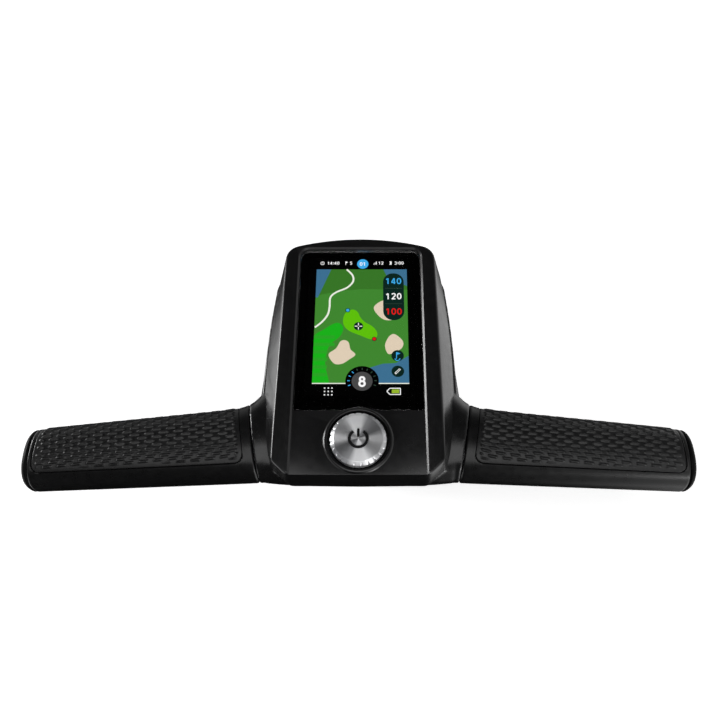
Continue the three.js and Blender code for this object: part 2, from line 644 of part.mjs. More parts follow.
// Open ring of the power mark, a gap at the top; grow widens it on all sides.
function markRing(grow, z0, z1) {
  const start = Math.PI / 2 + MARK.gapHalf - grow / MARK.r;
  const end = Math.PI / 2 + 2 * Math.PI - MARK.gapHalf + grow / MARK.r;
  const shape = new THREE.Shape();
  shape.absarc(0, 0, MARK.r + MARK.width / 2 + grow, start, end, false);
  shape.absarc(0, 0, MARK.r - MARK.width / 2 - grow, end, start, true);
  return plate(shape.getPoints(20), z0, z1);
}

function markBar(grow, z0, z1) {
  return roundedBox(MARK.width / 2 + grow, MARK.barBottom - grow, MARK.barTop + grow, MARK.width / 2, z0, z1);
}

function stemParts() {
  const flangeTop = -POD.back - GAP;
  const barrel = rod(COLLAR.outerR, -FACE_HEIGHT, flangeTop - 1, 0, STEM_Y, 48);
  const flange = rod(COLLAR.flangeR, flangeTop - COLLAR.flange, flangeTop, 0, STEM_Y, 48);
  const ears = boxBetween([-EAR.half, STEM_Y + 15, -EAR.bottom], [EAR.half, STEM_Y + EAR.reach, -EAR.top]);
  const bore = rod(COLLAR.boreR, -FACE_HEIGHT - EXTRA, -COLLAR.top, 0, STEM_Y, 48);
  const slot = boxBetween(
    [-COLLAR.slot / 2, STEM_Y, -FACE_HEIGHT - EXTRA], [COLLAR.slot / 2, STEM_Y + 40, -EAR.top + 4],
  );
  const boltY = STEM_Y + CLAMP_BOLT.y;
  const boltZ = -(EAR.bottom + EAR.top) / 2;
  const boltHole = crossRod(CLAMP_BOLT.r + 0.4, -20, 20, boltY, boltZ);
  const nutPocket = crossRod(CLAMP_BOLT.nutR + GAP, EAR.half - 3, 20, boltY, boltZ, 6);
  const screwHoles = collarPlaces.flatMap(([x, y]) => [
    rod(COLLAR_SCREW.r + GAP, -70, -44, x, y, 12),
    rod(COLLAR_SCREW.headR + GAP, -FACE_HEIGHT - EXTRA, flangeTop - 3, x, y, 16),
  ]);
  const connectorHole = rod(CONNECTOR.r + GAP, -70, -40, 0, STEM_Y);
  const collar = cut(join(barrel, flange, ears), bore, slot, boltHole, nutPocket, ...screwHoles, connectorHole);
  add("stem_collar", collar, "blackSteel");
  const bolt = join(
    crossRod(CLAMP_BOLT.r, -EAR.half - 1, EAR.half + 1, boltY, boltZ),
    crossRod(CLAMP_BOLT.headR, -EAR.half - GAP - CLAMP_BOLT.head, -EAR.half - GAP, boltY, boltZ),
  );
  const socket = crossRod(CLAMP_BOLT.socketR, -EAR.half - 8, -EAR.half - 2.5, boltY, boltZ, 6);
  add("clamp_bolt", cut(bolt, socket), "steel");
  add("clamp_nut", cut(
    crossRod(CLAMP_BOLT.nutR, EAR.half - 3 + GAP, EAR.half + 1.4, boltY, boltZ, 6),
    crossRod(CLAMP_BOLT.r + GAP, 0, 20, boltY, boltZ),
  ), "steel");
  collarPlaces.forEach(([x, y], i) => {
    const screw = join(
      rod(COLLAR_SCREW.headR, flangeTop - 3 - GAP - 2.4, flangeTop - 3 - GAP, x, y, 16),
      rod(COLLAR_SCREW.r, flangeTop - 4, -45, x, y, 12),
    );
    add("collar_screw_" + (i + 1), screw, "steel");
  });
  const { r, end, inner, mouthR, pinR, mouth } = CONNECTOR;
  const pin = rod(pinR, end - EXTRA, mouth + EXTRA, 0, STEM_Y);
  const moat = cut(rod(mouthR, end - EXTRA, mouth, 0, STEM_Y), pin);
  add("stem_connector", cut(rod(r, end, inner, 0, STEM_Y), moat), "mattePlastic");
  add("loom", loom(), "softRubber");
}

// Cable from the stem connector up to the plug on the board.
function loom() {
  const route = new THREE.CatmullRomCurve3([
    vec3(0, STEM_Y, -44.7), vec3(0, STEM_Y, -39), vec3(0, 38, -31), vec3(0, 55, -27), vec3(0, 64.5, -26.5),
    vec3(0, 65, -21.9),
  ]);
  const section = new THREE.Shape();
  section.absarc(0, 0, LOOM_R, 0, 2 * Math.PI, false);
  return solid(new THREE.ExtrudeGeometry(section, { steps: 14, curveSegments: 4, extrudePath: route }));
}

function housingScrews() {
  postPlaces.forEach(([x, y], i) => {
    const screw = join(
      rod(SCREW.headR, -26 - GAP - SCREW.head, -26 - GAP, x, y, 16), rod(SCREW.shankR, -27, -12, x, y, 12),
    );
    add("housing_screw_" + (i + 1), screw, "steel");
  });
}

function chargingSocket() {
  const { y, halfW, halfH, depth } = SOCKET;
  const body = boxBetween([-halfW, y - halfH, -POD.back + 0.6], [halfW, y + halfH, -POD.back + 0.6 + depth]);
  const mouth = boxBetween([-halfW + 0.7, y - halfH + 0.7, -POD.back - 1], [halfW - 0.7, y + halfH - 0.7, -41]);
  const tongue = boxBetween([-halfW + 1.4, y + 0.2, -POD.back + 1.4], [halfW - 1.4, y + 1.9, -40]);
  add("charging_socket", join(cut(body, mouth), tongue), "steel");
  const outside = -POD.back - GAP;
  const lid = roundedBox(FLAP.halfW, FLAP.low, FLAP.high, 2.5, outside - FLAP.thick, outside);
  const neck = boxBetween([-6, FLAP.high - 1, outside - FLAP.thick], [6, FLAP.pinY, outside]);
  const barrel = crossRod(1.9, -7.2, 7.2, FLAP.pinY, FLAP.pinZ, 16);
  const flap = cut(join(lid, neck, barrel), crossRod(FLAP.pinR + GAP, -20, 20, FLAP.pinY, FLAP.pinZ, 12));
  add("charging_flap", flap, "softRubber");
  add("flap_pin", crossRod(FLAP.pinR, -9.4, 9.4, FLAP.pinY, FLAP.pinZ, 12), "steel");
}

add("console_bezel", consoleBezel(), "mattePlastic");
add("rear_housing", rearHousing(), "mattePlastic");
displayStack();
electronics();
encoder();
knob();
housingScrews();
add("crossbar_tube", crossbarTube(), "aluminium");
add("crossbar_clamp_left", crossbarClamp(-CLAMP.x), "steel");
add("crossbar_clamp_right", crossbarClamp(CLAMP.x), "steel");
gripParts(-1, "left");
gripParts(1, "right");
stemParts();
chargingSocket();

export default part;
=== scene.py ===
import math

import bmesh
import bpy
import numpy as np
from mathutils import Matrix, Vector

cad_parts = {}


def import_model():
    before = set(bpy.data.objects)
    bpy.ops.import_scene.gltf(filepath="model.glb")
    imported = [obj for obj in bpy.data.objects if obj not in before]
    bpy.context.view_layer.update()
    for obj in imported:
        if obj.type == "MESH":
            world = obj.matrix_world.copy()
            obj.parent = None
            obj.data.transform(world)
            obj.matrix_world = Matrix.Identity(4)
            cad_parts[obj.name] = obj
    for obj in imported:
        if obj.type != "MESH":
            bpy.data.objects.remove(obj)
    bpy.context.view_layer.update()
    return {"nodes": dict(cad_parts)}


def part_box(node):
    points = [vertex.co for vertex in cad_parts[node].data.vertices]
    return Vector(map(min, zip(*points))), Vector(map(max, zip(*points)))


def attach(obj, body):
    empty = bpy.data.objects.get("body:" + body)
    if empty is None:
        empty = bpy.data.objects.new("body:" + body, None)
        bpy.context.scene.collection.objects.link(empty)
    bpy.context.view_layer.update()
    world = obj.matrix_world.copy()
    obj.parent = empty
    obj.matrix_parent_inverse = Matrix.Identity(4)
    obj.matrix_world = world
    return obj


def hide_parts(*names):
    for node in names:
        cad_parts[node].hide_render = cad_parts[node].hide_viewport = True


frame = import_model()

MM = 0.001
KNOB = {"rim": 14.5, "face": 12.65, "top": 1.6, "rim_z": 0.2, "bottom": -2.9, "wall": 1.6}
knob_low, knob_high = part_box("knob_cap")
HEAD = Vector(((knob_low.x + knob_high.x) / 2, (knob_low.y + knob_high.y) / 2, knob_high.z - KNOB["top"] * MM))


def local_box(node):
    """A CAD node's corners in the head's frame, in millimetres."""
    low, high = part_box(node)
    return (low - HEAD) / MM, (high - HEAD) / MM


# ---- driving dimensions ----
bezel_low, bezel_high = local_box("console_bezel")
glass_low, glass_high = local_box("cover_glass")
grip_low, grip_high = local_box("grip_cap_right")
pod_low, pod_high = local_box("rear_housing")

STEM_Y = -HEAD.y / MM
FACE = {
    "bottom": bezel_low.y, "top": bezel_high.y, "half_bottom": 44.4, "half_top": 42.9,
    "chamfer_x": 8, "chamfer_y": 7.6, "corner_r": 9, "corner_y": 111.5, "corner_turn": 78,
}
SKIRT = 20
FLARE = {"most": 9, "y": 48, "above": 93, "below": 60}
WALL = 2.6
PLATE_BACK = 7
CHANNEL = {"half": 34.7, "depth": 0.95, "top": 118, "slope": 1.0}
GLASS = {"bottom": 16.7, "top": glass_high.y, "half": glass_high.x, "thick": 1.8, "corner_r": 5.5, "low_r": 1.2}
POCKET_DEPTH = 4.2
WINDOW = {"half": 29.5, "bottom": 19, "top": 113.5}
RING = {"inner": 16, "outer": 18.2, "floor": -4.5}
CHIN = [(SKIRT + 0.3, 0.5), (SKIRT + 0.5, 0.25), (SKIRT + 0.8, 0.2), (24, 1.2), (30, 3.6), (36, 8)]
POD = {"front": 20.3, "back": 50, "edge": 12, "edge_start": 32, "top": 119, "corner_r": 20, "lip": 1}
BULGE = {"most": 4, "y": 30, "span": 24}
BAR = {"z": -30, "half_depth": 15, "power": 2.4}
NEAR = {"y": -13.3, "slope": -0.0385, "x": 65}
FAR = {"y": 25.2, "slope": -0.112, "x": 88}
RISE = {"most": 2.8, "x": 60.5, "fade": 5.5, "limit": 13}
PARTING = {"x": 56.2, "lean": 0.169}
GAP = 0.3
CAP_JOINT = 174.6
GRIP_END = grip_high.x
PAD = {"margin": 6, "outer": 172, "start": 129, "stop": -33, "corner": 4.5, "sunk": 1.7}
POST = {"x": 40.3, "ys": (30, 96), "r": 5, "boss": 3.6, "meet": -22.7}
SCREW = {"shank": 1.5, "head": 3.1}
TUBE = {"y": 2, "r": 9}


# ---- mesh helpers ----
def to_row(points):
    """Points in the head's frame, in millimetres, as points in the row frame, in metres."""
    return np.asarray(points, float) * MM + np.array(HEAD)


def mesh_piece(name, points, faces):
    mesh = bpy.data.meshes.new(name)
    mesh.from_pydata([tuple(p) for p in to_row(points)], [], faces)
    mesh.update()
    piece = bpy.data.objects.new(name, mesh)
    bpy.context.scene.collection.objects.link(piece)
    return piece


def loft(name, rings, closed=True):
    """Skin over rows of points; closed rings are capped at both ends."""
    rings = np.asarray(rings, float)
    rows, count = rings.shape[:2]
    a = np.arange(rows - 1)[:, None] * count + np.arange(count)[None, :]
    b = np.arange(rows - 1)[:, None] * count + (np.arange(count)[None, :] + 1) % count
    faces = np.stack([a, b, b + count, a + count], -1)
    faces = (faces if closed else faces[:, :-1]).reshape(-1, 4).tolist()
    if closed:
        faces.append(list(range(count))[::-1])
        faces.append(list(range((rows - 1) * count, rows * count)))
    piece = mesh_piece(name, rings.reshape(-1, 3), faces)
    if closed:
        face_out(piece)
    return piece


def face_out(piece):
    work = bmesh.new()
    work.from_mesh(piece.data)
    bmesh.ops.recalc_face_normals(work, faces=work.faces)
    if work.calc_volume(signed=True) < 0:
        bmesh.ops.reverse_faces(work, faces=work.faces)
    work.to_mesh(piece.data)
    work.free()


def turned(name, profile, centre=(0, 0), steps=96, radius_at=None):
    """Body of revolution about z; the profile lists (radius, z) round its section."""
    turns = np.arange(steps) * 2 * math.pi / steps
    rings = []
    for turn in turns:
        ring = []
        for r, z in profile:
            reach = radius_at(r, z, turn) if radius_at else r
            ring.append((centre[0] + reach * math.cos(turn), centre[1] + reach * math.sin(turn), z))
        rings.append(ring)
    rings = np.array(rings)
    count = len(profile)
    faces = []
    for i in range(steps):
        for j in range(count):
            a, b = i * count + j, i * count + (j + 1) % count
            c, d = ((i + 1) % steps) * count + (j + 1) % count, ((i + 1) % steps) * count + j
            faces.append((a, b, c, d))
    piece = mesh_piece(name, rings.reshape(-1, 3), faces)
    welded(piece)
    face_out(piece)
    return piece


def welded(piece, distance=0.002):
    work = bmesh.new()
    work.from_mesh(piece.data)
    bmesh.ops.remove_doubles(work, verts=work.verts, dist=distance * MM)
    bmesh.ops.dissolve_degenerate(work, edges=work.edges, dist=distance * MM / 10)
    work.to_mesh(piece.data)
    work.free()


def prism(name, outline, z0, z1):
    rings = [[(x, y, z) for x, y in outline] for z in (z0, z1)]
    return loft(name, rings)


def rod(name, r, z0, z1, centre=(0, 0), steps=48):
    turns = np.arange(steps) * 2 * math.pi / steps
    return prism(name, [(centre[0] + r * math.cos(t), centre[1] + r * math.sin(t)) for t in turns], z0, z1)


def cross_rod(name, r, x0, x1, y, z, steps=48):
    turns = np.arange(steps) * 2 * math.pi / steps
    return loft(name, [[(x, y + r * math.cos(t), z + r * math.sin(t)) for t in turns] for x in (x0, x1)])


def box_piece(name, low, high):
    outline = [(low[0], low[1]), (high[0], low[1]), (high[0], high[1]), (low[0], high[1])]
    return prism(name, outline, low[2], high[2])


def rounded_rectangle(half, bottom, top, r, steps=8, low_r=None):
    low_r = r if low_r is None else low_r
    outline = []
    for cx, cy, radius, start in ((half - low_r, bottom + low_r, low_r, -90), (half - r, top - r, r, 0),
                                  (-half + r, top - r, r, 90), (-half + low_r, bottom + low_r, low_r, 180)):
        for i in range(steps + 1):
            turn = math.radians(start + 90 * i / steps)
            outline.append((cx + radius * math.cos(turn), cy + radius * math.sin(turn)))
    return outline


def applied(piece):
    """Gives a piece the mesh that its modifiers make."""
    graph = bpy.context.evaluated_depsgraph_get()
    mesh = bpy.data.meshes.new_from_object(piece.evaluated_get(graph), depsgraph=graph)
    piece.modifiers.clear()
    piece.data = mesh


def combined(piece, others, operation):
    for other in others:
        modifier = piece.modifiers.new("shape", "BOOLEAN")
        modifier.object = other
        modifier.operation = operation
        modifier.solver = "MANIFOLD"
        applied(piece)
        bpy.data.objects.remove(other)
    return piece


def cut(piece, *others):
    return combined(piece, others, "DIFFERENCE")


def joined(piece, *others):
    return combined(piece, others, "UNION")


def edged(piece, width, steps=3, limit=32):
    """Rounds the sharp edges of a piece."""
    work = bmesh.new()
    work.from_mesh(piece.data)
    bmesh.ops.remove_doubles(work, verts=work.verts, dist=0.004 * MM)
    bmesh.ops.dissolve_limit(work, angle_limit=math.radians(0.4), verts=work.verts, edges=work.edges)
    work.to_mesh(piece.data)
    work.free()
    modifier = piece.modifiers.new("edges", "BEVEL")
    modifier.width = width * MM
    modifier.segments = steps
    modifier.limit_method = "ANGLE"
    modifier.angle_limit = math.radians(limit)
    modifier.harden_normals = False
    applied(piece)
    return piece


def finished(piece, material, body, slot, *nodes, crease=35):
    """Gives a piece its material, smooth shading and the body it moves with, and hides the CAD nodes it stands for."""
    piece.data.materials.clear()
    piece.data.materials.append(material)
    piece.data.shade_smooth()
    piece.data.set_sharp_from_angle(angle=math.radians(crease))
    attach(piece, body)
    if nodes:
        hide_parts(*nodes)
    return piece


# ---- materials ----
class Surface:
    """A node material around one Principled shader."""

    def __init__(self, name, colour, roughness, metallic=0.0, **sockets):
        self.material = bpy.data.materials.new(name)
        self.material.use_nodes = True
        self.tree = self.material.node_tree
        self.shader = self.tree.nodes["Principled BSDF"]
        self.shader.inputs["Base Color"].default_value = (*colour, 1)
        self.shader.inputs["Roughness"].default_value = roughness
        self.shader.inputs["Metallic"].default_value = metallic
        for socket, value in sockets.items():
            self.shader.inputs[socket.replace("_", " ")].default_value = value
        self.place = self.node("ShaderNodeTexCoord").outputs["Object"]
        self.height = None

    def node(self, kind, **settings):
        made = self.tree.nodes.new(kind)
        for key, value in settings.items():
            setattr(made, key, value)
        return made

    def link(self, a, b):
        self.tree.links.new(a, b)

    def noise(self, size, detail=3.0, stretch=(1, 1, 1)):
        """Noise whose cells are about size millimetres across."""
        mapping = self.node("ShaderNodeMapping")
        mapping.inputs["Scale"].default_value = stretch
        self.link(self.place, mapping.inputs["Vector"])
        made = self.node("ShaderNodeTexNoise")
        made.inputs["Scale"].default_value = 1 / (size * MM)
        made.inputs["Detail"].default_value = detail
        self.link(mapping.outputs["Vector"], made.inputs["Vector"])
        return made.outputs["Fac"]

    def ranged(self, value, low, high, source_low=0.3, source_high=0.7):
        made = self.node("ShaderNodeMapRange")
        made.inputs["From Min"].default_value = source_low
        made.inputs["From Max"].default_value = source_high
        made.inputs["To Min"].default_value = low
        made.inputs["To Max"].default_value = high
        self.link(value, made.inputs["Value"])
        return made.outputs["Result"]

    def rough(self, value, low, high):
        self.link(self.ranged(value, low, high), self.shader.inputs["Roughness"])

    def tint(self, value, low, high):
        """Base colour that varies between two colours."""
        mix = self.node("ShaderNodeMix", data_type="RGBA")
        mix.inputs["A"].default_value = (*low, 1)
        mix.inputs["B"].default_value = (*high, 1)
        self.link(self.ranged(value, 0, 1), mix.inputs["Factor"])
        self.link(mix.outputs["Result"], self.shader.inputs["Base Color"])
        return mix

    def bump(self, value, depth, strength=1.0):
        """Relief of about depth millimetres."""
        made = self.node("ShaderNodeBump")
        made.inputs["Strength"].default_value = strength
        made.inputs["Distance"].default_value = depth * MM
        self.link(value, made.inputs["Height"])
        if self.height is not None:
            self.link(self.height, made.inputs["Normal"])
        self.height = made.outputs["Normal"]
        self.link(self.height, self.shader.inputs["Normal"])

    def edge_wear(self, worn, amount=0.6):
        """Lightens the outer edges a little, from the mesh's own pointiness."""
        source = self.shader.inputs["Base Color"].links[0].from_socket
        mix = self.node("ShaderNodeMix", data_type="RGBA")
        mix.inputs["B"].default_value = (*worn, 1)
        point = self.node("ShaderNodeNewGeometry").outputs["Pointiness"]
        self.link(self.ranged(point, 0, amount, 0.52, 0.62), mix.inputs["Factor"])
        self.link(source, mix.inputs["A"])
        self.link(mix.outputs["Result"], self.shader.inputs["Base Color"])


def grey(value):
    return (value, value, value * 1.04)


def moulded(name, shade, low, high, grain=0.35, depth=0.012, **sockets):
    """Moulded plastic with a fine spark-eroded grain."""
    made = Surface(name, grey(shade), (low + high) / 2, **sockets)
    made.tint(made.noise(9, 4), grey(shade * 0.88), grey(shade * 1.12))
    made.edge_wear(grey(shade * 2.2), 0.5)
    made.rough(made.noise(4, 5), low, high)
    made.bump(made.noise(grain, 2), depth)
    return made.material


def rubber(name, shade):
    made = Surface(name, grey(shade), 0.6, Specular_IOR_Level=0.4)
    made.tint(made.noise(6, 4), grey(shade * 0.85), grey(shade * 1.15))
    made.edge_wear(grey(shade * 2.0), 0.6)
    made.rough(made.noise(2.5, 4), 0.32, 0.42)
    made.bump(made.noise(0.25, 2), 0.008)
    return made.material


def metal(name, colour, low, high, stretch=(1, 1, 1), size=0.3, depth=0.004):
    made = Surface(name, colour, (low + high) / 2, 1.0)
    made.tint(made.noise(3, 4), tuple(c * 0.9 for c in colour), tuple(min(1, c * 1.08) for c in colour))
    made.rough(made.noise(1.2, 4, stretch), low, high)
    made.bump(made.noise(size, 2, stretch), depth)
    return made.material


def turned_aluminium_painted_streaks():
    made = Surface("turned_aluminium_painted_streaks", (0.8, 0.81, 0.83), 0.36, 0.85)
    made.shader.inputs["Anisotropic"].default_value = 0.95
    made.shader.inputs["Anisotropic Rotation"].default_value = 0.25
    tangent = made.node("ShaderNodeTangent", direction_type="RADIAL", axis="Z")
    made.link(tangent.outputs["Tangent"], made.shader.inputs["Tangent"])
    centre = made.node("ShaderNodeVectorMath", operation="SUBTRACT")
    centre.inputs[1].default_value = tuple(HEAD)
    made.link(made.place, centre.inputs[0])
    turn = made.node("ShaderNodeTexGradient", gradient_type="RADIAL")
    made.link(centre.outputs["Vector"], turn.inputs["Vector"])

    def painted_streak_wave(times, phase, size):
        """A wave that runs a number of times round the axis, for the painted reflection streaks in the base colour."""
        angle = made.node("ShaderNodeMath", operation="MULTIPLY_ADD")
        angle.inputs[1].default_value = times * 2 * math.pi
        angle.inputs[2].default_value = phase
        made.link(turn.outputs["Fac"], angle.inputs[0])
        wave = made.node("ShaderNodeMath", operation="COSINE")
        made.link(angle.outputs["Value"], wave.inputs[0])
        scaled = made.node("ShaderNodeMath", operation="MULTIPLY")
        scaled.inputs[1].default_value = size
        made.link(wave.outputs["Value"], scaled.inputs[0])
        return scaled.outputs["Value"]

    # Painted reflection: the base colour is lightened and darkened in streaks round the axis, standing in for the
    # bright and dark streaks that lights make on turned metal.
    total = made.node("ShaderNodeMath", operation="ADD")
    made.link(painted_streak_wave(4, 0, 0.5), total.inputs[0])
    made.link(painted_streak_wave(2, math.pi / 2, 0.4), total.inputs[1])
    made.tint(made.ranged(total.outputs["Value"], 0, 1, -0.9, 0.8), (0.42, 0.425, 0.44), (0.98, 0.985, 1.0))
    made.rough(made.noise(1.5, 4), 0.33, 0.38)
    return made.material


def clear_glass():
    made = Surface("clear_glass", (1, 1, 1), 0.02)
    made.shader.inputs["Transmission Weight"].default_value = 1.0
    made.shader.inputs["IOR"].default_value = 1.48
    made.rough(made.noise(14, 3), 0.01, 0.035)
    return made.material


def lit(name, colour, strength=1.0):
    """A colour that the display shows."""
    made = Surface(name, (0, 0, 0), 0.5)
    made.shader.inputs["Emission Color"].default_value = (*colour, 1)
    made.shader.inputs["Emission Strength"].default_value = strength
    made.shader.inputs["Specular IOR Level"].default_value = 0.0
    return made.material


CONSOLE = moulded("console_plastic", 0.0085, 0.2, 0.27, depth=0.006)
HOUSING = moulded("housing_plastic", 0.0075, 0.22, 0.29, depth=0.006)
GRIP = moulded("grip_plastic", 0.006, 0.26, 0.34, depth=0.006, Specular_IOR_Level=0.38)
CAP = moulded("cap_plastic", 0.004, 0.4, 0.5, depth=0.004, Specular_IOR_Level=0.05)
INNER = moulded("inner_plastic", 0.02, 0.45, 0.6)
PAD_RUBBER = rubber("pad_rubber", 0.009)
SEAL = rubber("seal_rubber", 0.009)
GLASS_CLEAR = clear_glass()
ALUMINIUM = turned_aluminium_painted_streaks()
TUBE_METAL = metal("tube_aluminium", (0.75, 0.76, 0.78), 0.25, 0.4, (0.05, 1, 1))
STEEL = metal("fastener_steel", (0.5, 0.5, 0.52), 0.25, 0.4)
STAMPED = metal("stamped_steel", (0.55, 0.55, 0.56), 0.3, 0.45)
COLLAR = metal("coated_collar", (0.035, 0.036, 0.04), 0.35, 0.5, size=0.5, depth=0.02)
BOARD = moulded("board_green", 0.03, 0.4, 0.6)
CERAMIC = moulded("ceramic", 0.5, 0.5, 0.7)
INK = moulded("dark_inlay", 0.008, 0.4, 0.5, Specular_IOR_Level=0.15)
BLACK_PRINT = moulded("black_print", 0.0008, 0.5, 0.6, depth=0.002, Specular_IOR_Level=0.0)


# ---- form of the head ----
def flare(y):
    t = np.where(y > FLARE["y"], (y - FLARE["y"]) / FLARE["above"], (FLARE["y"] - y) / FLARE["below"])
    return FLARE["most"] * np.maximum(0, 1 - np.where(y > FLARE["y"], t**2, t**4))


def face_half(y):
    t = (y - FACE["bottom"]) / (FACE["corner_y"] - FACE["bottom"])
    return FACE["half_bottom"] + (FACE["half_top"] - FACE["half_bottom"]) * t


def resampled(points, step):
    """A closed outline with evenly spaced points."""
    points = np.vstack([points, points[:1]])
    length = np.concatenate([[0], np.cumsum(np.linalg.norm(np.diff(points, axis=0), axis=1))])
    count = int(length[-1] / step)
    at = np.arange(count) * length[-1] / count
    return np.stack([np.interp(at, length, points[:, k]) for k in range(points.shape[1])], 1)


def softened(points, passes):
    """A closed outline with its corners eased."""
    for _ in range(passes):
        points = 0.25 * np.roll(points, 1, 0) + 0.5 * points + 0.25 * np.roll(points, -1, 0)
    return points


def face_outline():
    """Closed outline of the face, anticlockwise from its bottom middle."""
    half = [(0, FACE["bottom"]), (FACE["half_bottom"] - FACE["chamfer_x"], FACE["bottom"]),
            (FACE["half_bottom"], FACE["bottom"] + FACE["chamfer_y"]),
            (face_half(FACE["corner_y"]), FACE["corner_y"])]
    corner_x = FACE["half_top"] - FACE["corner_r"]
    for turn in np.radians(np.linspace(5, FACE["corner_turn"], 12)):
        r = FACE["corner_r"]
        half.append((corner_x + r * math.cos(turn), FACE["corner_y"] + r * math.sin(turn)))
    end_x, end_y = half[-1]
    for share in np.linspace(0.9, 0, 10):
        half.append((end_x * share, FACE["top"] - (FACE["top"] - end_y) * share**2))
    left = [(-x, y) for x, y in half[-2:0:-1]]
    return softened(resampled(np.array(half + left), 0.6), 10)


OUTLINE = face_outline()


def inward_normals(points):
    along = np.roll(points, -1, 0) - np.roll(points, 1, 0)
    along /= np.linalg.norm(along, axis=1)[:, None]
    return np.stack([-along[:, 1], along[:, 0]], 1)


INWARD = inward_normals(OUTLINE)


def bezel_ring(depth, inset):
    """Ring of the bezel's skin at a depth behind the face, moved in by inset."""
    lean = flare(OUTLINE[:, 1]) * depth / SKIRT
    ring = OUTLINE + INWARD * inset
    share = np.clip(np.abs(OUTLINE[:, 0]) / FACE["half_top"], 0, 1)
    x = ring[:, 0] + np.sign(OUTLINE[:, 0]) * lean * share
    return np.stack([x, ring[:, 1], np.full(len(x), -float(depth))], 1)


def edge_profile(depth_from, depth_to, r, steps=6):
    """Stations (depth, inset) that round both ends of a skin over a quarter circle of radius r."""
    quarter = [(1 - math.cos(t), 1 - math.sin(t)) for t in np.linspace(0, math.pi / 2, steps)]
    front = [(depth_from + r * a, r * b) for a, b in quarter]
    back = [(depth_to - r * a, r * b) for a, b in quarter]
    middle = [(d, 0) for d in np.linspace(depth_from + r, depth_to - r, 8)[1:-1]]
    return front + middle + back[::-1]


def bar_middle_cutter(grow):
    """Solid of the cross bar's middle, a little larger, for cutting into its neighbours."""
    return loft("bar_cutter", shoulder_rings(grow))


def console_bezel():
    rings = [bezel_ring(depth, inset) for depth, inset in edge_profile(0, SKIRT, 1.0)]
    skin = loft("console_bezel_shell", rings)
    hollow = loft("hollow", [bezel_ring(SKIRT + 2, WALL), bezel_ring(PLATE_BACK, WALL)])
    slope = CHANNEL["slope"] / CHANNEL["depth"]
    levels = [(z, (z + CHANNEL["depth"]) * slope) for z in (-CHANNEL["depth"], 0.6)]
    channel = loft("channel", [
        [(x, y, z) for x, y in rounded_rectangle(CHANNEL["half"] + out, FACE["bottom"] - 9, CHANNEL["top"] + out,
                                                 GLASS["corner_r"] + out)] for z, out in levels])
    pocket = prism("pocket", rounded_rectangle(GLASS["half"] + GAP, GLASS["bottom"] - GAP, GLASS["top"] + GAP,
                                               GLASS["corner_r"], low_r=GLASS["low_r"]), -POCKET_DEPTH, 3)
    window = box_piece("window", (-WINDOW["half"], WINDOW["bottom"], -PLATE_BACK - 1),
                       (WINDOW["half"], WINDOW["top"], 1))
    well = rod("well", RING["inner"], RING["floor"], 3, steps=128)
    ring = turned("ring", [
        (RING["inner"], RING["floor"] - 0.5), (RING["outer"], RING["floor"] - 0.5),
        (RING["outer"], -CHANNEL["depth"]), (RING["outer"] - 0.25, -0.65), (RING["outer"] - 0.7, -0.2),
        (RING["outer"] - 1.2, -0.03), (RING["inner"] + 0.5, 0), (RING["inner"] + 0.12, -0.12), (RING["inner"], -0.4),
    ], steps=128)
    bush = rod("bush", 4.9, -PLATE_BACK - 1, 0)
    cut(skin, hollow, channel, pocket, well)
    joined(skin, ring)
    cut(skin, window, bush, bar_middle_cutter(GAP))
    edged(skin, 0.28)
    return finished(skin, CONSOLE, "housing", "bezel_plastic", "console_bezel")


# ---- form of the cross bar ----
def near_edge(x):
    return NEAR["y"] + NEAR["slope"] * (x - NEAR["x"])


def far_edge(x):
    rise = np.minimum(RISE["most"] * np.exp(-(x - RISE["x"]) / RISE["fade"]), RISE["limit"])
    return FAR["y"] + FAR["slope"] * (x - FAR["x"]) + rise


def bar_point(x, turn, power, inset, near, far):
    """Point of the bar's section: turn 0 is the far side, 90 the top, 180 the side near the golfer."""
    c, s = np.cos(np.radians(turn)), np.sin(np.radians(turn))
    y = (near + far) / 2 + ((far - near) / 2 - inset) * np.sign(c) * np.abs(c) ** (2 / power)
    z = BAR["z"] + (BAR["half_depth"] - inset) * np.sign(s) * np.abs(s) ** (2 / power)
    return y, z


def grip_point(x, turn, inset=0.0):
    return bar_point(x, turn, BAR["power"], inset, near_edge(x), far_edge(x))


def parting_x(turn, out, inset=0.0):
    """x of the joint face between shoulder and grip, moved outward by out, at each turn of the section."""
    x = np.full(np.shape(turn), PARTING["x"] + out)
    for _ in range(4):
        y, _z = grip_point(x, turn, inset)
        x = PARTING["x"] + PARTING["lean"] * y + out
    return x


BAR_TURNS = np.linspace(0, 360, 240, endpoint=False)


def shoulder_rings(grow, ease=0.0):
    """Rings of the bar's middle from its left joint face to its right one."""
    stations = np.array([[0, -14.9, 30], [30, -14.6, 34], [43, -13.8, 43], [50, -13.1, 42]])
    right = []
    for x in [*np.arange(0, 50, 2.0), 50]:
        near, far = (np.interp(x, stations[:, 0], stations[:, k]) for k in (1, 2))
        y, z = bar_point(x, BAR_TURNS, BAR["power"], -grow, near, far)
        right.append(np.stack([np.full_like(y, x), y, z], 1))
    for back, inset in ((3.0, 0), (ease, 0), (ease * 0.3, ease * 0.3), (0, ease)):
        x = parting_x(BAR_TURNS, grow - back, inset - grow)
        y, z = grip_point(x, BAR_TURNS, inset - grow)
        right.append(np.stack([x, y, z], 1))
    left = [ring * (-1, 1, 1) for ring in right[:0:-1]]
    return left + right


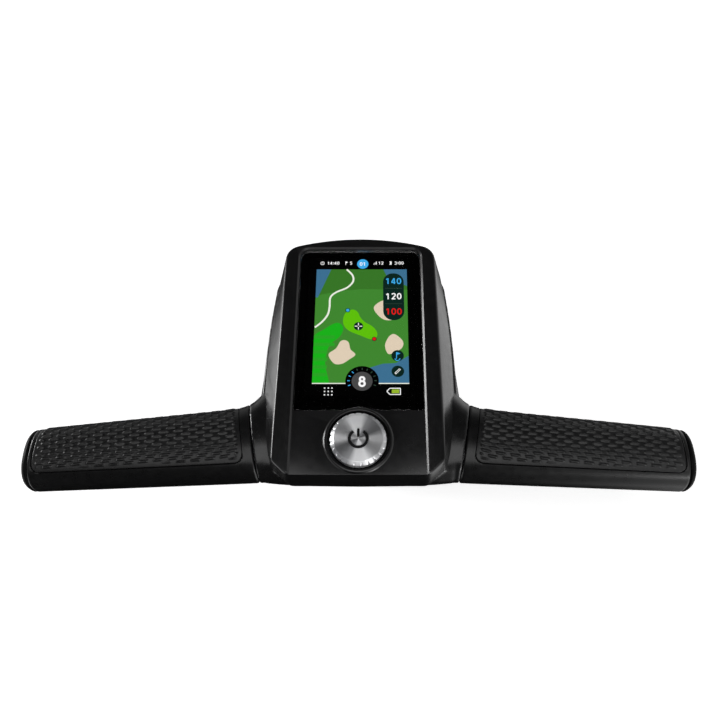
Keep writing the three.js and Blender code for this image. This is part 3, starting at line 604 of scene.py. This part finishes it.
def pod_ring(depth):
    t = np.clip((depth - POD["edge_start"]) / (POD["back"] - POD["edge_start"]), 0, 1)
    inset = POD["edge"] * (1 - math.sqrt(1 - t * t))
    swell = max(0.0, math.sin(min(1, (depth - SKIRT) / (POD["back"] - SKIRT)) * math.pi * 0.75))
    y = np.concatenate([[-8 + inset], np.arange(4, 99, 3.0), [99]])
    bulge = BULGE["most"] * np.exp(-(((y - BULGE["y"]) / BULGE["span"]) ** 2)) * swell
    x = face_half(y) + flare(np.maximum(y, 12)) + POD["lip"] + bulge - inset
    turns = np.linspace(0, math.pi / 2, 22)[1:]
    corner_x = x[-1] - POD["corner_r"] * (1 - np.cos(turns))
    corner_y = y[-1] + (POD["top"] - inset - y[-1]) * np.sin(turns)
    right = np.stack([np.concatenate([x, corner_x]), np.concatenate([y, corner_y])], 1)
    ring = np.vstack([right, (right * (-1, 1))[::-1]])
    return np.column_stack([ring, np.full(len(ring), -float(depth))])


def smoothed_union(name, parts, voxel, passes):
    """Joins overlapping bodies into one skin with small fillets."""
    first, *others = parts
    joined(first, *others)
    first.name = name
    remesh = first.modifiers.new("remesh", "REMESH")
    remesh.mode = "VOXEL"
    remesh.voxel_size = voxel * MM
    smooth = first.modifiers.new("smooth", "SMOOTH")
    smooth.factor = 0.5
    smooth.iterations = passes
    applied(first)
    return first


def rear_housing():
    depths = [POD["front"], 20.8, 22, 25, 28, 32, 36, 39, 41.5, 43.5, 45, 46.3, 47.4, 48.3, 49, 49.5, 49.85, POD["back"]]
    pod = loft("pod", [pod_ring(depth) for depth in depths])
    bar = loft("bar", shoulder_rings(0, 0.5))
    chin = loft("chin", [bezel_ring(depth, inset) for depth, inset in CHIN])
    combined(chin, [box_piece("below", (-60, -30, -60), (60, 22, 0))], "INTERSECT")
    shell = smoothed_union("rear_housing_shell", [pod, bar, chin], 0.7, 6)
    inner = []
    for z, inset, top in ((-POD["back"] + 2.8, 7.8, 110), (-40, 3.8, 113), (-SKIRT + 6, 3.8, 115)):
        ring = bezel_ring(SKIRT, inset)
        inner.append(np.stack([ring[:, 0], np.clip(ring[:, 1], -4, top), np.full(len(ring), z)], 1))
    well = box_piece("well", (-40, -12.2, -32), (40, 24, 0))
    low_well = box_piece("low_well", (-40, -8.4, -39.5), (40, 24, -31))
    cut(shell, loft("tub", inner), well, low_well)
    posts = [rod("post", POST["r"], -48, POST["meet"], (side * POST["x"], y)) for side in (-1, 1) for y in POST["ys"]]
    joined(shell, *posts)
    holes = [cross_rod("tube_hole", TUBE["r"] + GAP, -90, 90, TUBE["y"], BAR["z"])]
    for side in (-1, 1):
        for y in POST["ys"]:
            place = (side * POST["x"], y)
            holes.append(rod("head_hole", SCREW["head"] + GAP, -POD["back"] - 1, -26, place))
            holes.append(rod("shank_hole", SCREW["shank"] + GAP, -27, POST["meet"] + 1, place))
    for turn in (45, 135, 225, 315):
        place = (20.5 * math.cos(math.radians(turn)), STEM_Y + 20.5 * math.sin(math.radians(turn)))
        holes.append(rod("collar_hole", 2.1, -POD["back"] - 1, -44, place))
    holes.append(box_piece("socket_hole", (-7.2, 82.3, -POD["back"] - 1), (7.2, 89.7, -44)))
    holes.append(rod("connector_hole", 7.9, -POD["back"] - 1, -44, (0, STEM_Y)))
    cut(shell, *holes)
    pin_low, pin_high = local_box("flap_pin")
    pin_y, pin_z = (pin_low.y + pin_high.y) / 2, (pin_low.z + pin_high.z) / 2
    for side in (-1, 1):
        lug = cross_rod("lug", 1.9, side * 8.6 - 1, side * 8.6 + 1, pin_y, pin_z)
        joined(lug, box_piece("foot", (side * 8.6 - 1, pin_y - 1.9, pin_z), (side * 8.6 + 1, pin_y + 1.9, -49)))
        joined(shell, lug)
    cut(shell, cross_rod("pin_hole", 1.1, -12, 12, pin_y, pin_z))
    return finished(shell, HOUSING, "housing", "housing_plastic", "rear_housing", crease=50)


# ---- grips ----
SKIN_STEP = 0.45


def surface_normals(grid):
    """Outward normals of a grid of points, rows along x and columns round the section."""
    along = np.gradient(grid, axis=0)
    around = np.gradient(grid, axis=1)
    normal = np.cross(around, along)
    normal /= np.linalg.norm(normal, axis=2)[:, :, None] + 1e-9
    middle = np.array([0, (near_edge(120) + far_edge(120)) / 2, BAR["z"]])
    outward = grid - middle
    sign = np.sign((normal * outward)[:, :, 1:].sum(2))
    return normal * np.where(sign == 0, 1, sign)[:, :, None]


def section_lengths(x):
    """(turns, lengths) round the section at x; length 0 is the far side and grows over the top."""
    turns = np.linspace(-180, 180, 1441)
    y, z = grip_point(x, turns)
    steps = np.hypot(np.diff(y), np.diff(z))
    length = np.concatenate([[0], np.cumsum(steps)])
    return turns, length - np.interp(0, turns, length)


def rounded_distance(u, v, u0, u1, v0, v1, r):
    """Distance inside a rectangle with rounded corners; negative outside."""
    du = np.abs(u - (u0 + u1) / 2) - (u1 - u0) / 2 + r
    dv = np.abs(v - (v0 + v1) / 2) - (v1 - v0) / 2 + r
    outside = np.hypot(np.maximum(du, 0), np.maximum(dv, 0))
    return -(outside + np.minimum(np.maximum(du, dv), 0) - r)


def smooth_step(value, low, high):
    t = np.clip((value - low) / (high - low), 0, 1)
    return t * t * (3 - 2 * t)


DASH = {"pitch": 7.7, "shift": 3.5, "row": 2.2, "length": 5.0, "width": 1.55, "slant": 0.5, "height": 0.6, "edge": 0.5}


def dashes(along, around):
    """Relief of the grip's moulded dashes, in millimetres."""
    relief = np.zeros_like(along)
    nearest = np.round(around / DASH["row"])
    for row in (nearest - 1, nearest, nearest + 1):
        across = around - row * DASH["row"]
        offset = along - row * DASH["shift"] - DASH["slant"] * across
        offset = (offset + DASH["pitch"] / 2) % DASH["pitch"] - DASH["pitch"] / 2
        from_end = DASH["length"] / 2 - np.abs(offset)
        from_side = DASH["width"] / 2 - np.abs(across)
        rise = smooth_step(np.minimum(from_end, from_side), 0, DASH["edge"])
        relief = np.maximum(relief, rise)
    return relief * DASH["height"]


def pad_span(x, turns):
    """Arc length round the section at every grid point, and the pad's borders there."""
    samples = np.linspace(60, GRIP_END, 25)
    tables = [section_lengths(s) for s in samples]
    grid = np.stack([np.interp(turns, *table) for table in tables])
    out = np.zeros_like(x)
    for column in range(x.shape[1]):
        out[:, column] = np.interp(x[:, column], samples, grid[:, column])
    low = np.interp(x, samples, [np.interp(PAD["stop"], *table) for table in tables])
    high = np.interp(x, samples, [np.interp(PAD["start"], *table) for table in tables])
    return out, low, high


def grip_grid(turns, inner_out, outer_x):
    """Points of the grip's skin, rows from the joint face to outer_x."""
    start = parting_x(turns, inner_out)
    count = int((outer_x - 60) / SKIN_STEP)
    share = np.linspace(0, 1, count)[:, None]
    x = start[None, :] + (outer_x - start[None, :]) * share
    y, z = grip_point(x, np.broadcast_to(turns, x.shape))
    return np.stack([x, y, z], 2)


def pad_distance(grid, turns):
    around, low, high = pad_span(grid[:, :, 0], turns)
    x = grid[:, :, 0]
    inner = parting_x(turns, PAD["margin"])[None, :]
    middle = (low + high) / 2
    half = (high - low) / 2
    stretch = half.mean()
    shifted = x - inner
    length = (PAD["outer"] - inner)
    u = shifted / length * length.mean()
    v = (around - middle) / half * stretch
    return rounded_distance(u, v, 0, length.mean(), -stretch, stretch, PAD["corner"]), around


def grip_shell(side, label):
    turns = np.linspace(0, 360, 300, endpoint=False)
    wrapped = np.where(turns > 200, turns - 360, turns)
    grid = grip_grid(wrapped, GAP, CAP_JOINT - 0.15)
    inside, _around = pad_distance(grid, wrapped)
    sink = PAD["sunk"] * smooth_step(inside, -0.35, 0.05)
    ends = np.minimum(np.arange(len(grid)), np.arange(len(grid))[::-1]) * SKIN_STEP
    ease = 0.5 * (1 - np.sqrt(1 - (1 - np.clip(ends / 0.9, 0, 1)) ** 2))
    moved = grid - surface_normals(grid) * (sink + ease[:, None])[:, :, None]
    shell = loft("grip_shell_skin_" + label, moved * (side, 1, 1))
    hole_x = side * 80
    cut(shell, rod("hole", SCREW["head"] + GAP, -60, -42, (hole_x, TUBE["y"])))
    return finished(shell, GRIP, "housing", "grip_plastic", "grip_shell_" + label, crease=50)


def grip_pad(side, label):
    turns = np.linspace(PAD["start"] + 2, PAD["stop"] - 2, 190)
    grid = grip_grid(turns, PAD["margin"] - 0.4, PAD["outer"] + 0.4)
    inside, around = pad_distance(grid, turns)
    normal = surface_normals(grid)
    rounding = 0.3 * (1 - np.sqrt(1 - (1 - np.clip(inside / 0.3, 0, 1)) ** 2))
    under = PAD["sunk"] + 0.5
    drop = np.where(inside > 0, rounding, under)
    relief = dashes(grid[:, :, 0], around) * smooth_step(inside, 1.6, 2.8)
    top = grid + normal * (relief - drop)[:, :, None]
    bottom = grid - normal * (under + 0.6)
    rings = np.concatenate([top, bottom[:, ::-1]], axis=1)
    pad = loft("grip_pad_skin_" + label, rings * (side, 1, 1))
    return finished(pad, PAD_RUBBER, "housing", "grip_rubber", "grip_pad_" + label, crease=60)


def grip_cap(side, label):
    turns = np.linspace(0, 360, 240, endpoint=False)
    rings = []
    reach = GRIP_END - CAP_JOINT
    for t in np.linspace(0, 1, 14):
        x = CAP_JOINT + 0.15 + (reach - 0.15) * math.sin(t * math.pi / 2)
        inset = 0.45 * max(0, 1 - t * 8) + 4.4 * (1 - math.cos(t * math.pi / 2))
        y, z = grip_point(np.full(turns.shape, x), turns, inset)
        rings.append(np.stack([np.full(turns.shape, x), y, z], 1))
    cap = loft("grip_cap_skin_" + label, np.array(rings) * (side, 1, 1))
    return finished(cap, CAP, "housing", "grip_plastic", "grip_cap_" + label, crease=50)


# ---- knob ----
NOTCHES = 24


def knob_cap():
    rim, face, top = KNOB["rim"], KNOB["face"], KNOB["top"]
    inner = rim - KNOB["wall"]

    def reach(r, z, turn):
        if z < -2.5 or r < face - 0.2 or z < KNOB["rim_z"] - 2.2 or r <= inner + 0.01:
            return r
        phase = (turn * NOTCHES / (2 * math.pi)) % 1 - 0.5
        return r - 0.4 * math.exp(-((phase / 0.08) ** 2)) * (r - face + 0.2) / (rim - face)

    profile = [(0, top), (face - 0.4, top), (face - 0.12, top - 0.03), (face + 0.05, top - 0.12)]
    profile += [(face + (rim - 0.2 - face) * t, top - 0.12 - (top - 0.35 - KNOB["rim_z"]) * t) for t in (0.33, 0.66, 1)]
    profile += [(rim - 0.04, KNOB["rim_z"]), (rim, KNOB["rim_z"] - 0.3), (rim, -1), (rim, -2.5), (rim - 0.1, -2.8),
                (rim - 0.4, KNOB["bottom"]), (inner, KNOB["bottom"]), (inner, -0.4), (0, -0.4)]
    cap = turned("knob_cap_turned", profile, steps=NOTCHES * 14, radius_at=reach)
    mark_low, mark_high = local_box("knob_mark_ring")
    outer = mark_high.x + GAP
    width = 1.3 + 2 * GAP
    gap = 0.62 - GAP / 4.6
    turns = np.linspace(math.pi / 2 + gap, math.pi / 2 + 2 * math.pi - gap, 60)
    outline = [(outer * math.cos(t), outer * math.sin(t)) for t in turns]
    outline += [((outer - width) * math.cos(t), (outer - width) * math.sin(t)) for t in turns[::-1]]
    bar_low, bar_high = local_box("knob_mark_bar")
    bar = rounded_rectangle(bar_high.x + GAP, bar_low.y - GAP, bar_high.y + GAP, bar_high.x)
    cut(cap, prism("ring_pocket", outline, mark_low.z - GAP, top + 1))
    cut(cap, prism("bar_pocket", bar, mark_low.z - GAP, top + 1))
    return finished(cap, ALUMINIUM, "knob", "knob_aluminium", "knob_cap", crease=28)


# ---- display ----
def cover_glass():
    top = glass_high.z
    outline = rounded_rectangle(GLASS["half"], GLASS["bottom"], GLASS["top"], GLASS["corner_r"] - GAP,
                                low_r=GLASS["low_r"])
    lens = prism("cover_glass_pane", outline, top - GLASS["thick"], top)
    cut(lens, rod("notch", RING["outer"] + GAP, -9, 3, steps=128))
    edged(lens, 0.3)
    return finished(lens, GLASS_CLEAR, "housing", "cover_glass", "cover_glass", crease=15)


SCREEN = {"half": 25.92, "bottom": 23, "top": 109}
MAP = {"bottom": 32.8, "top": 105.8, "half": 26, "shift": 0.8}
PRINT_Z = glass_low.z - 0.12
LAYER = 0.012
PALETTE = {
    "dark_grass": (0.042, 0.19, 0.022), "grass": (0.055, 0.255, 0.032), "fairway": (0.012, 0.46, 0.012),
    "stripe": (0.025, 0.4, 0.02), "green": (0.12, 0.56, 0.004), "sand": (0.79, 0.66, 0.5), "water": (0.05, 0.17, 0.3),
    "line": (0.9, 0.93, 0.82), "white": (1, 1, 1), "blue": (0.05, 0.42, 0.85), "red": (0.8, 0.01, 0.01),
    "shade": (0.004, 0.02, 0.015), "black": (0.0005, 0.0005, 0.0005), "grey": (0.07, 0.07, 0.07),
    "dim": (0.03, 0.06, 0.04), "lime": (0.32, 0.5, 0.03),
}


class Picture:
    """Flat coloured shapes stacked just under the glass, as one mesh."""

    def __init__(self):
        self.points, self.faces, self.colours, self.layer = [], [], [], 0

    def shape(self, outline, colour, raised=True):
        outline = [(x, y) for x, y in outline]
        if raised:
            self.layer += 1
        z = PRINT_Z - 0.9 + self.layer * LAYER
        start = len(self.points)
        self.points += [(x + MAP["shift"], y, z) for x, y in outline]
        self.faces.append(list(range(start, start + len(outline))))
        self.colours.append(list(PALETTE).index(colour))

    def disc(self, x, y, r, colour, steps=40):
        turns = np.arange(steps) * 2 * math.pi / steps
        self.shape([(x + r * math.cos(t), y + r * math.sin(t)) for t in turns], colour)

    def ring(self, x, y, r, width, colour, start=0.0, stop=2 * math.pi, steps=48):
        turns = np.linspace(start, stop, steps)
        self.band([(x + r * math.cos(t), y + r * math.sin(t)) for t in turns], width, colour)

    def band(self, route, width, colour):
        """A line of constant width along a route."""
        route = np.array(route, float)
        along = np.gradient(route, axis=0)
        along /= np.linalg.norm(along, axis=1)[:, None]
        side = np.stack([-along[:, 1], along[:, 0]], 1) * width / 2
        self.layer += 1
        for i in range(len(route) - 1):
            self.shape([route[i] - side[i], route[i + 1] - side[i + 1], route[i + 1] + side[i + 1], route[i] + side[i]],
                       colour, raised=False)

    def blob(self, knots, colour):
        self.shape(closed_curve(knots), colour)

    def digits(self, text, x, y, height, colour, weight=0.17):
        """Digits in strokes, centred at x, y."""
        width = height * 0.56
        pitch = width + height * 0.2
        offsets = {":": 0.5, ".": 0.5}
        total = sum(pitch * offsets.get(c, 1) for c in text) - height * 0.2
        left = x - total / 2
        for character in text:
            if character == ":":
                for share in (0.25, 0.7):
                    self.disc(left + pitch * 0.16, y - height / 2 + height * share, height * weight * 0.6, colour, 12)
                left += pitch * 0.5
                continue
            for stroke in DIGITS[character]:
                route = [(left + px * width, y - height / 2 + py * height) for px, py in stroke]
                self.band(eased(route), height * weight, colour)
            left += pitch

    def piece(self):
        made = mesh_piece("screen_picture", self.points, self.faces)
        for name, colour in PALETTE.items():
            made.data.materials.append(lit("screen_" + name, colour, 1.0))
        made.data.polygons.foreach_set("material_index", self.colours)
        return made


def closed_curve(knots, steps=8):
    """A smooth closed outline through given knots."""
    knots = np.array(knots, float)
    made = []
    for i in range(len(knots)):
        a, b, c, d = (knots[(i + k) % len(knots)] for k in (-1, 0, 1, 2))
        for t in np.arange(steps) / steps:
            made.append(0.5 * (2 * b + (c - a) * t + (2 * a - 5 * b + 4 * c - d) * t**2 + (3 * b - a - 3 * c + d) * t**3))
    return made


def open_curve(knots, steps=10):
    knots = np.array([knots[0], *knots, knots[-1]], float)
    made = []
    for i in range(1, len(knots) - 2):
        a, b, c, d = knots[i - 1 : i + 3]
        for t in np.arange(steps) / steps:
            made.append(0.5 * (2 * b + (c - a) * t + (2 * a - 5 * b + 4 * c - d) * t**2 + (3 * b - a - 3 * c + d) * t**3))
    made.append(knots[-2])
    return made


def eased(route, steps=5):
    return route if len(route) < 3 else open_curve(route, steps)


def arc(cx, cy, rx, ry, start, stop, count=8):
    turns = np.radians(np.linspace(start, stop, count))
    return [(cx + rx * math.cos(t), cy + ry * math.sin(t)) for t in turns]


DIGITS = {
    "0": [arc(0.5, 0.5, 0.42, 0.42, 90, 450, 17)],
    "1": [[(0.12, 0.72), (0.5, 0.92)], [(0.55, 0.95), (0.55, 0.03)]],
    "2": [arc(0.5, 0.7, 0.4, 0.23, 165, -35, 8) + [(0.1, 0.08)], [(0.05, 0.08), (0.95, 0.08)]],
    "3": [arc(0.45, 0.71, 0.4, 0.21, 150, -85, 8), arc(0.45, 0.29, 0.45, 0.24, 85, -150, 8)],
    "4": [[(0.66, 0.95), (0.06, 0.3)], [(0.02, 0.27), (1.0, 0.27)], [(0.72, 0.95), (0.72, 0.03)]],
    "5": [[(0.9, 0.92), (0.2, 0.92)], [(0.2, 0.95), (0.14, 0.52)], arc(0.46, 0.32, 0.45, 0.26, 120, -145, 9)],
    "8": [arc(0.5, 0.72, 0.34, 0.2, 90, 450, 15), arc(0.5, 0.28, 0.42, 0.24, 90, 450, 15)],
}


def screen_picture():
    show = Picture()
    half, low, high = MAP["half"], MAP["bottom"], MAP["top"]
    show.shape([(-half, low), (half, low), (half, high), (-half, high)], "grass")
    show.shape([(-25.9, 88), (-12, 91.2), (0, 92.4), (half, 92), (half, high), (-half, high)], "dark_grass")
    show.shape([(-half, high), (-half, 87), (-24.8, 86.7), (-17.6, high)], "water")
    show.shape([(half, high), (12.5, high), (14.5, 101), (19, 97.5), (half, 94.5)], "water")
    shore = [(5.1, 42.5), (12, 44.8), (19, 45.2), (half, 49.6)]
    show.shape([(half, low), (1, low), (2, 38.5), *shore], "water")
    show.blob([(-27, 34), (-27, 59), (-20, 66.5), (-13.5, 70.3), (-10, 67.5), (-11.5, 62), (-17.5, 55.5), (-19.3, 45),
               (-17, 33), (-20, 28)], "fairway")
    for y in (60.2, 55.6, 51.0, 46.4, 41.8, 37.2):
        reach = -18.4 if y < 52 else -14.5
        show.shape([(-half, y), (reach, y), (reach, y + 2.1), (-half, y + 2.1)], "stripe")
    show.shape([(-half - 3, 26), (half, 26), (half, low), (-half - 3, low)], "black")
    show.shape([(-half - 4, 26), (-half, 26), (-half, high), (-half - 4, high)], "black")
    show.band(open_curve([(-8.6, 105.7), (-5.2, 101.5), (-5.0, 97.2), (-8.4, 93.2), (-14.5, 90.1), (-17.6, 86.6),
                          (-17.9, 80.5), (-18.8, 75.5), (-21.8, 70.9), (-25.7, 67.3)]), 1.05, "line")
    show.blob([(-10.1, 72.5), (-8.7, 76.8), (-5.2, 78.8), (-2.2, 77.4), (-0.3, 73.5), (2.2, 70.6), (6.2, 68),
               (8.8, 64.3), (8.4, 60.8), (5, 59.9), (-0.4, 62.2), (-6.4, 65), (-9.5, 68.4)], "green")
    show.blob([(7.0, 79.6), (9.5, 83.2), (13.6, 84.9), (20, 83), (22.5, 78.5), (19.5, 73), (14.2, 71.9), (10, 74.4)],
              "sand")
    show.blob([(-17.6, 50.4), (-13.6, 54.2), (-11.3, 58.5), (-8.7, 59.2), (-6.7, 57.6), (-5.7, 53.6), (-3, 50.3),
               (-6.5, 47.2), (-10.3, 44.7), (-14.6, 45)], "sand")
    show.blob([(13.2, 56), (15.3, 61.3), (18, 63.1), (21, 61.2), (23.2, 58), (22.4, 54.4), (18.6, 51.8), (14.9, 50.8)],
              "sand")
    show.disc(-7.6, 78.3, 1.35, "shade", 24)
    show.disc(-7.6, 78.3, 0.95, "blue", 24)
    show.disc(7.3, 60, 1.35, "shade", 24)
    show.disc(7.3, 60, 0.95, "red", 24)
    show.disc(-1.5, 68, 2.6, "shade")
    for dx, dy in ((1, 0), (-1, 0), (0, 1), (0, -1)):
        show.band([(-1.5 + dx * 0.5, 68 + dy * 0.5), (-1.5 + dx * 2.1, 68 + dy * 2.1)], 0.5, "white")
    pill = rounded_rectangle(5.9, 71.8, 102.9, 5.8)
    show.shape([(x + 18.2, y) for x, y in pill], "shade")
    show.digits("140", 18.2, 97.6, 4.2, "blue")
    show.digits("120", 18.2, 87.4, 4.2, "white")
    show.digits("100", 18.2, 77.4, 4.2, "red")
    for y in (92.6, 82.4):
        show.band([(13.4, y), (23, y)], 0.3, "dim")
    show.disc(20, 49.5, 3.4, "shade")
    show.band([(19.4, 47.6), (19.4, 51.6)], 0.45, "blue")
    show.shape([(19.5, 51.7), (19.5, 49.9), (21.6, 50.8)], "blue")
    show.ring(19.9, 47.8, 1.3, 0.5, "blue", math.pi, 2 * math.pi, 14)
    show.disc(20, 40, 3.4, "shade")
    show.band([(18.6, 38.6), (21.2, 41.4)], 1.1, "white")
    show.band([(18.9, 38.9), (21.0, 41.2)], 0.45, "shade")
    show.band([(-MAP["half"], low), (MAP["half"], low)], 0.55, "line")
    show.disc(0.8, 34.1, 9.0, "black", 64)
    show.disc(0.8, 34.1, 5.6, "grey", 48)
    show.digits("8", 0.8, 34.0, 6.0, "white", 0.2)
    for index in range(11):
        turn = math.radians(200 - index * 22)
        colour = "blue" if index < 4 else "dim"
        inner, outer = 6.6, 7.9
        show.band([(0.8 + r * math.cos(turn), 34.1 + r * math.sin(turn)) for r in (inner, outer)], 0.5, colour)
    for row in range(3):
        for column in range(3):
            show.disc(-17.1 + (column - 1) * 1.95, 28 + (row - 1) * 1.95, 0.42, "white", 12)
    frame_line = [(15.6, 26.2), (21.2, 26.2), (21.2, 29.8), (15.6, 29.8), (14, 28), (15.6, 26.2)]
    show.band(frame_line[:2], 0.5, "white")
    show.band([(21.2, 26), (21.2, 30)], 0.5, "white")
    show.band(frame_line[2:4], 0.5, "white")
    show.band(frame_line[3:5], 0.5, "white")
    show.band(frame_line[4:6], 0.5, "white")
    show.shape([(16.6, 26.9), (20.6, 26.9), (20.6, 29.1), (16.6, 29.1)], "lime")
    show.ring(-22.7, 109.4, 1.0, 0.32, "white", 0, 2 * math.pi, 24)
    show.band([(-22.7, 109.4), (-22.7, 110.1)], 0.25, "white")
    show.band([(-22.7, 109.4), (-22.2, 109.4)], 0.25, "white")
    show.digits("14:40", -16.4, 109.4, 2.1, "white")
    show.band([(-9.3, 108.3), (-9.3, 110.6)], 0.3, "white")
    show.shape([(-9.2, 110.7), (-9.2, 109.4), (-7.9, 110)], "white")
    show.digits("5", -6.2, 109.4, 2.1, "white")
    show.disc(0.6, 108.8, 3.25, "blue", 48)
    show.digits("01", 0.6, 108.8, 2.5, "white")
    for step in range(3):
        show.band([(7.0 + step * 0.75, 108.4), (7.0 + step * 0.75, 109 + step * 0.75)], 0.4, "white")
    show.digits("12", 11.1, 109.4, 2.1, "white")
    show.shape([(15.9, 110.5), (17.3, 110.5), (15.9, 108.3), (17.3, 108.3)], "white")
    show.digits("3:00", 21.6, 109.4, 2.1, "white")
    made = show.piece()
    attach(made, "housing")
    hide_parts("display_panel")
    return made


def panel_backing():
    """The display's black border, printed under the glass, with the panel behind it."""
    outline = rounded_rectangle(GLASS["half"] - 0.2, GLASS["bottom"] + 0.2, GLASS["top"] - 0.2, GLASS["corner_r"] - 0.5,
                                low_r=GLASS["low_r"])
    made = prism("display_panel_backing", outline, PRINT_Z - 1.02, PRINT_Z - 0.95)
    cut(made, rod("notch", RING["outer"] + GAP, -9, 3, steps=128))
    return finished(made, BLACK_PRINT, "housing", "display_panel")


# ---- CAD nodes that keep their shape ----
def carried_over():
    finish = {
        SEAL: ["knob_seal", "loom", "charging_flap"],
        BLACK_PRINT: ["glass_gasket"],
        STAMPED: ["display_frame", "shield_can", "charging_socket", "crossbar_clamp_left", "crossbar_clamp_right",
                  "switch_dome"],
        BOARD: ["main_board"],
        CERAMIC: ["gps_antenna", "loom_plug"],
        INNER: ["buzzer", "encoder_body", "encoder_plunger", "knob_insert", "stem_connector"],
        STEEL: ["encoder_bush", "encoder_nut", "encoder_shaft", "flap_pin", "clamp_bolt", "clamp_nut",
                "grip_screw_left", "grip_screw_right"]
        + ["housing_screw_%d" % i for i in (1, 2, 3, 4)] + ["collar_screw_%d" % i for i in (1, 2, 3, 4)],
        TUBE_METAL: ["crossbar_tube"],
        COLLAR: ["stem_collar"],
        INK: ["knob_mark_ring", "knob_mark_bar"],
    }
    rounded = {"stem_collar": 0.5, "charging_flap": 0.4, "clamp_bolt": 0.35, "clamp_nut": 0.25}
    for material, names in finish.items():
        for name in names:
            node = frame["nodes"][name]
            node.data.materials.clear()
            node.data.materials.append(material)
            node.data.shade_smooth()
            node.data.set_sharp_from_angle(angle=math.radians(30))
            modifier = node.modifiers.new("edges", "BEVEL")
            modifier.width = rounded.get(name, 0.12) * MM
            modifier.segments = 3
            modifier.limit_method = "ANGLE"
            modifier.angle_limit = math.radians(34)


# ---- studio ----
def camera():
    data = bpy.data.cameras.new("camera")
    data.lens = 37.5
    data.sensor_width = 36
    data.shift_x = -0.0221
    data.clip_start = 0.01
    made = bpy.data.objects.new("camera", data)
    made.location = HEAD + Vector((9, -136.8, 360)) * MM
    made.rotation_euler = Vector((0, 180.6, -356.9)).to_track_quat("-Z", "Y").to_euler()
    bpy.context.scene.collection.objects.link(made)
    bpy.context.scene.camera = made


def softbox(name, place, size, power, target=(0, 0, 0.07)):
    data = bpy.data.lights.new(name, "AREA")
    data.shape = "RECTANGLE"
    data.size, data.size_y = size
    data.energy = power
    made = bpy.data.objects.new(name, data)
    made.location = place
    made.rotation_euler = (Vector(target) - Vector(place)).to_track_quat("-Z", "Y").to_euler()
    bpy.context.scene.collection.objects.link(made)
    return made


def studio():
    size = 4.0
    mesh = bpy.data.meshes.new("floor")
    mesh.from_pydata([(-size, -size, 0), (size, -size, 0), (size, size, 0), (-size, size, 0)], [], [(0, 1, 2, 3)])
    floor = bpy.data.objects.new("floor", mesh)
    made = Surface("floor", (0.93, 0.93, 0.93), 0.7)
    made.tint(made.noise(300, 2), (0.92, 0.92, 0.92), (0.94, 0.94, 0.94))
    made.shader.inputs["Emission Color"].default_value = (1, 1, 1, 1)
    made.shader.inputs["Emission Strength"].default_value = 0.68
    mesh.materials.append(made.material)
    floor.visible_glossy = False
    floor.visible_diffuse = False
    bpy.context.scene.collection.objects.link(floor)
    softbox("top_light", (0.0, -0.5, 1.6), (1.5, 1.2), 10)
    softbox("left_light", (-1.4, 0.52, 0.3), (0.6, 0.5), 16)
    softbox("front_light", (0.8, -1.2, 0.35), (0.45, 0.3), 3.5)
    world()
    bpy.context.scene.view_settings.view_transform = "Standard"


def world():
    """Pale for what is seen, dim for what is lit, and walls of light at both sides for what mirrors it."""
    made = bpy.data.worlds.new("studio")
    made.use_nodes = True
    bpy.context.scene.world = made
    tree = made.node_tree
    nodes, links = tree.nodes, tree.links

    def maths(operation, a, b=None):
        node = nodes.new("ShaderNodeMath")
        node.operation = operation
        for socket, value in zip(node.inputs, (a, b)):
            if isinstance(value, (int, float)):
                socket.default_value = value
            elif value is not None:
                links.new(value, socket)
        return node.outputs["Value"]

    def ranged(value, source, target):
        node = nodes.new("ShaderNodeMapRange")
        node.interpolation_type = "SMOOTHSTEP"
        for name, number in zip(("From Min", "From Max", "To Min", "To Max"), (*source, *target)):
            node.inputs[name].default_value = number
        links.new(value, node.inputs["Value"])
        return node.outputs["Result"]

    split = nodes.new("ShaderNodeSeparateXYZ")
    links.new(nodes.new("ShaderNodeTexCoord").outputs["Generated"], split.inputs["Vector"])
    x, y, z = (split.outputs[axis] for axis in "XYZ")
    wall = ranged(maths("ABSOLUTE", maths("ADD", x, 0.09)), (0.36, 0.6), (0.0, 1.1))
    low = ranged(z, (-0.1, 0.5), (1.0, 0.18))
    lean = ranged(maths("MULTIPLY", x, z), (-0.45, 0.45), (0.85, 1.4))
    sides = maths("MULTIPLY", maths("MULTIPLY", wall, lean), low)
    near_right = maths("MULTIPLY", ranged(x, (0.12, 0.42), (0.0, 1.0)), ranged(y, (-0.6, -0.3), (1.0, 0.0)))
    ends = maths("ADD", maths("MULTIPLY", near_right, 0.8), ranged(y, (0.75, 0.95), (0.004, 0.4)))
    mirrored = maths("ADD", sides, ends)
    path = nodes.new("ShaderNodeLightPath")
    seen = maths("MULTIPLY", path.outputs["Is Camera Ray"], 0.9)
    lit_part = maths("MULTIPLY", path.outputs["Is Diffuse Ray"], 0.08)
    plain = maths("MAXIMUM", path.outputs["Is Camera Ray"], path.outputs["Is Diffuse Ray"])
    rest = maths("MULTIPLY", mirrored, maths("SUBTRACT", 1.0, plain))
    total = maths("ADD", maths("ADD", seen, lit_part), rest)
    links.new(total, nodes["Background"].inputs["Strength"])
    nodes["Background"].inputs["Color"].default_value = (1, 1, 1, 1)


camera()
studio()
console_bezel()
rear_housing()
for side, label in ((-1, "left"), (1, "right")):
    grip_shell(side, label)
    grip_pad(side, label)
    grip_cap(side, label)
knob_cap()
cover_glass()
panel_backing()
screen_picture()
carried_over()
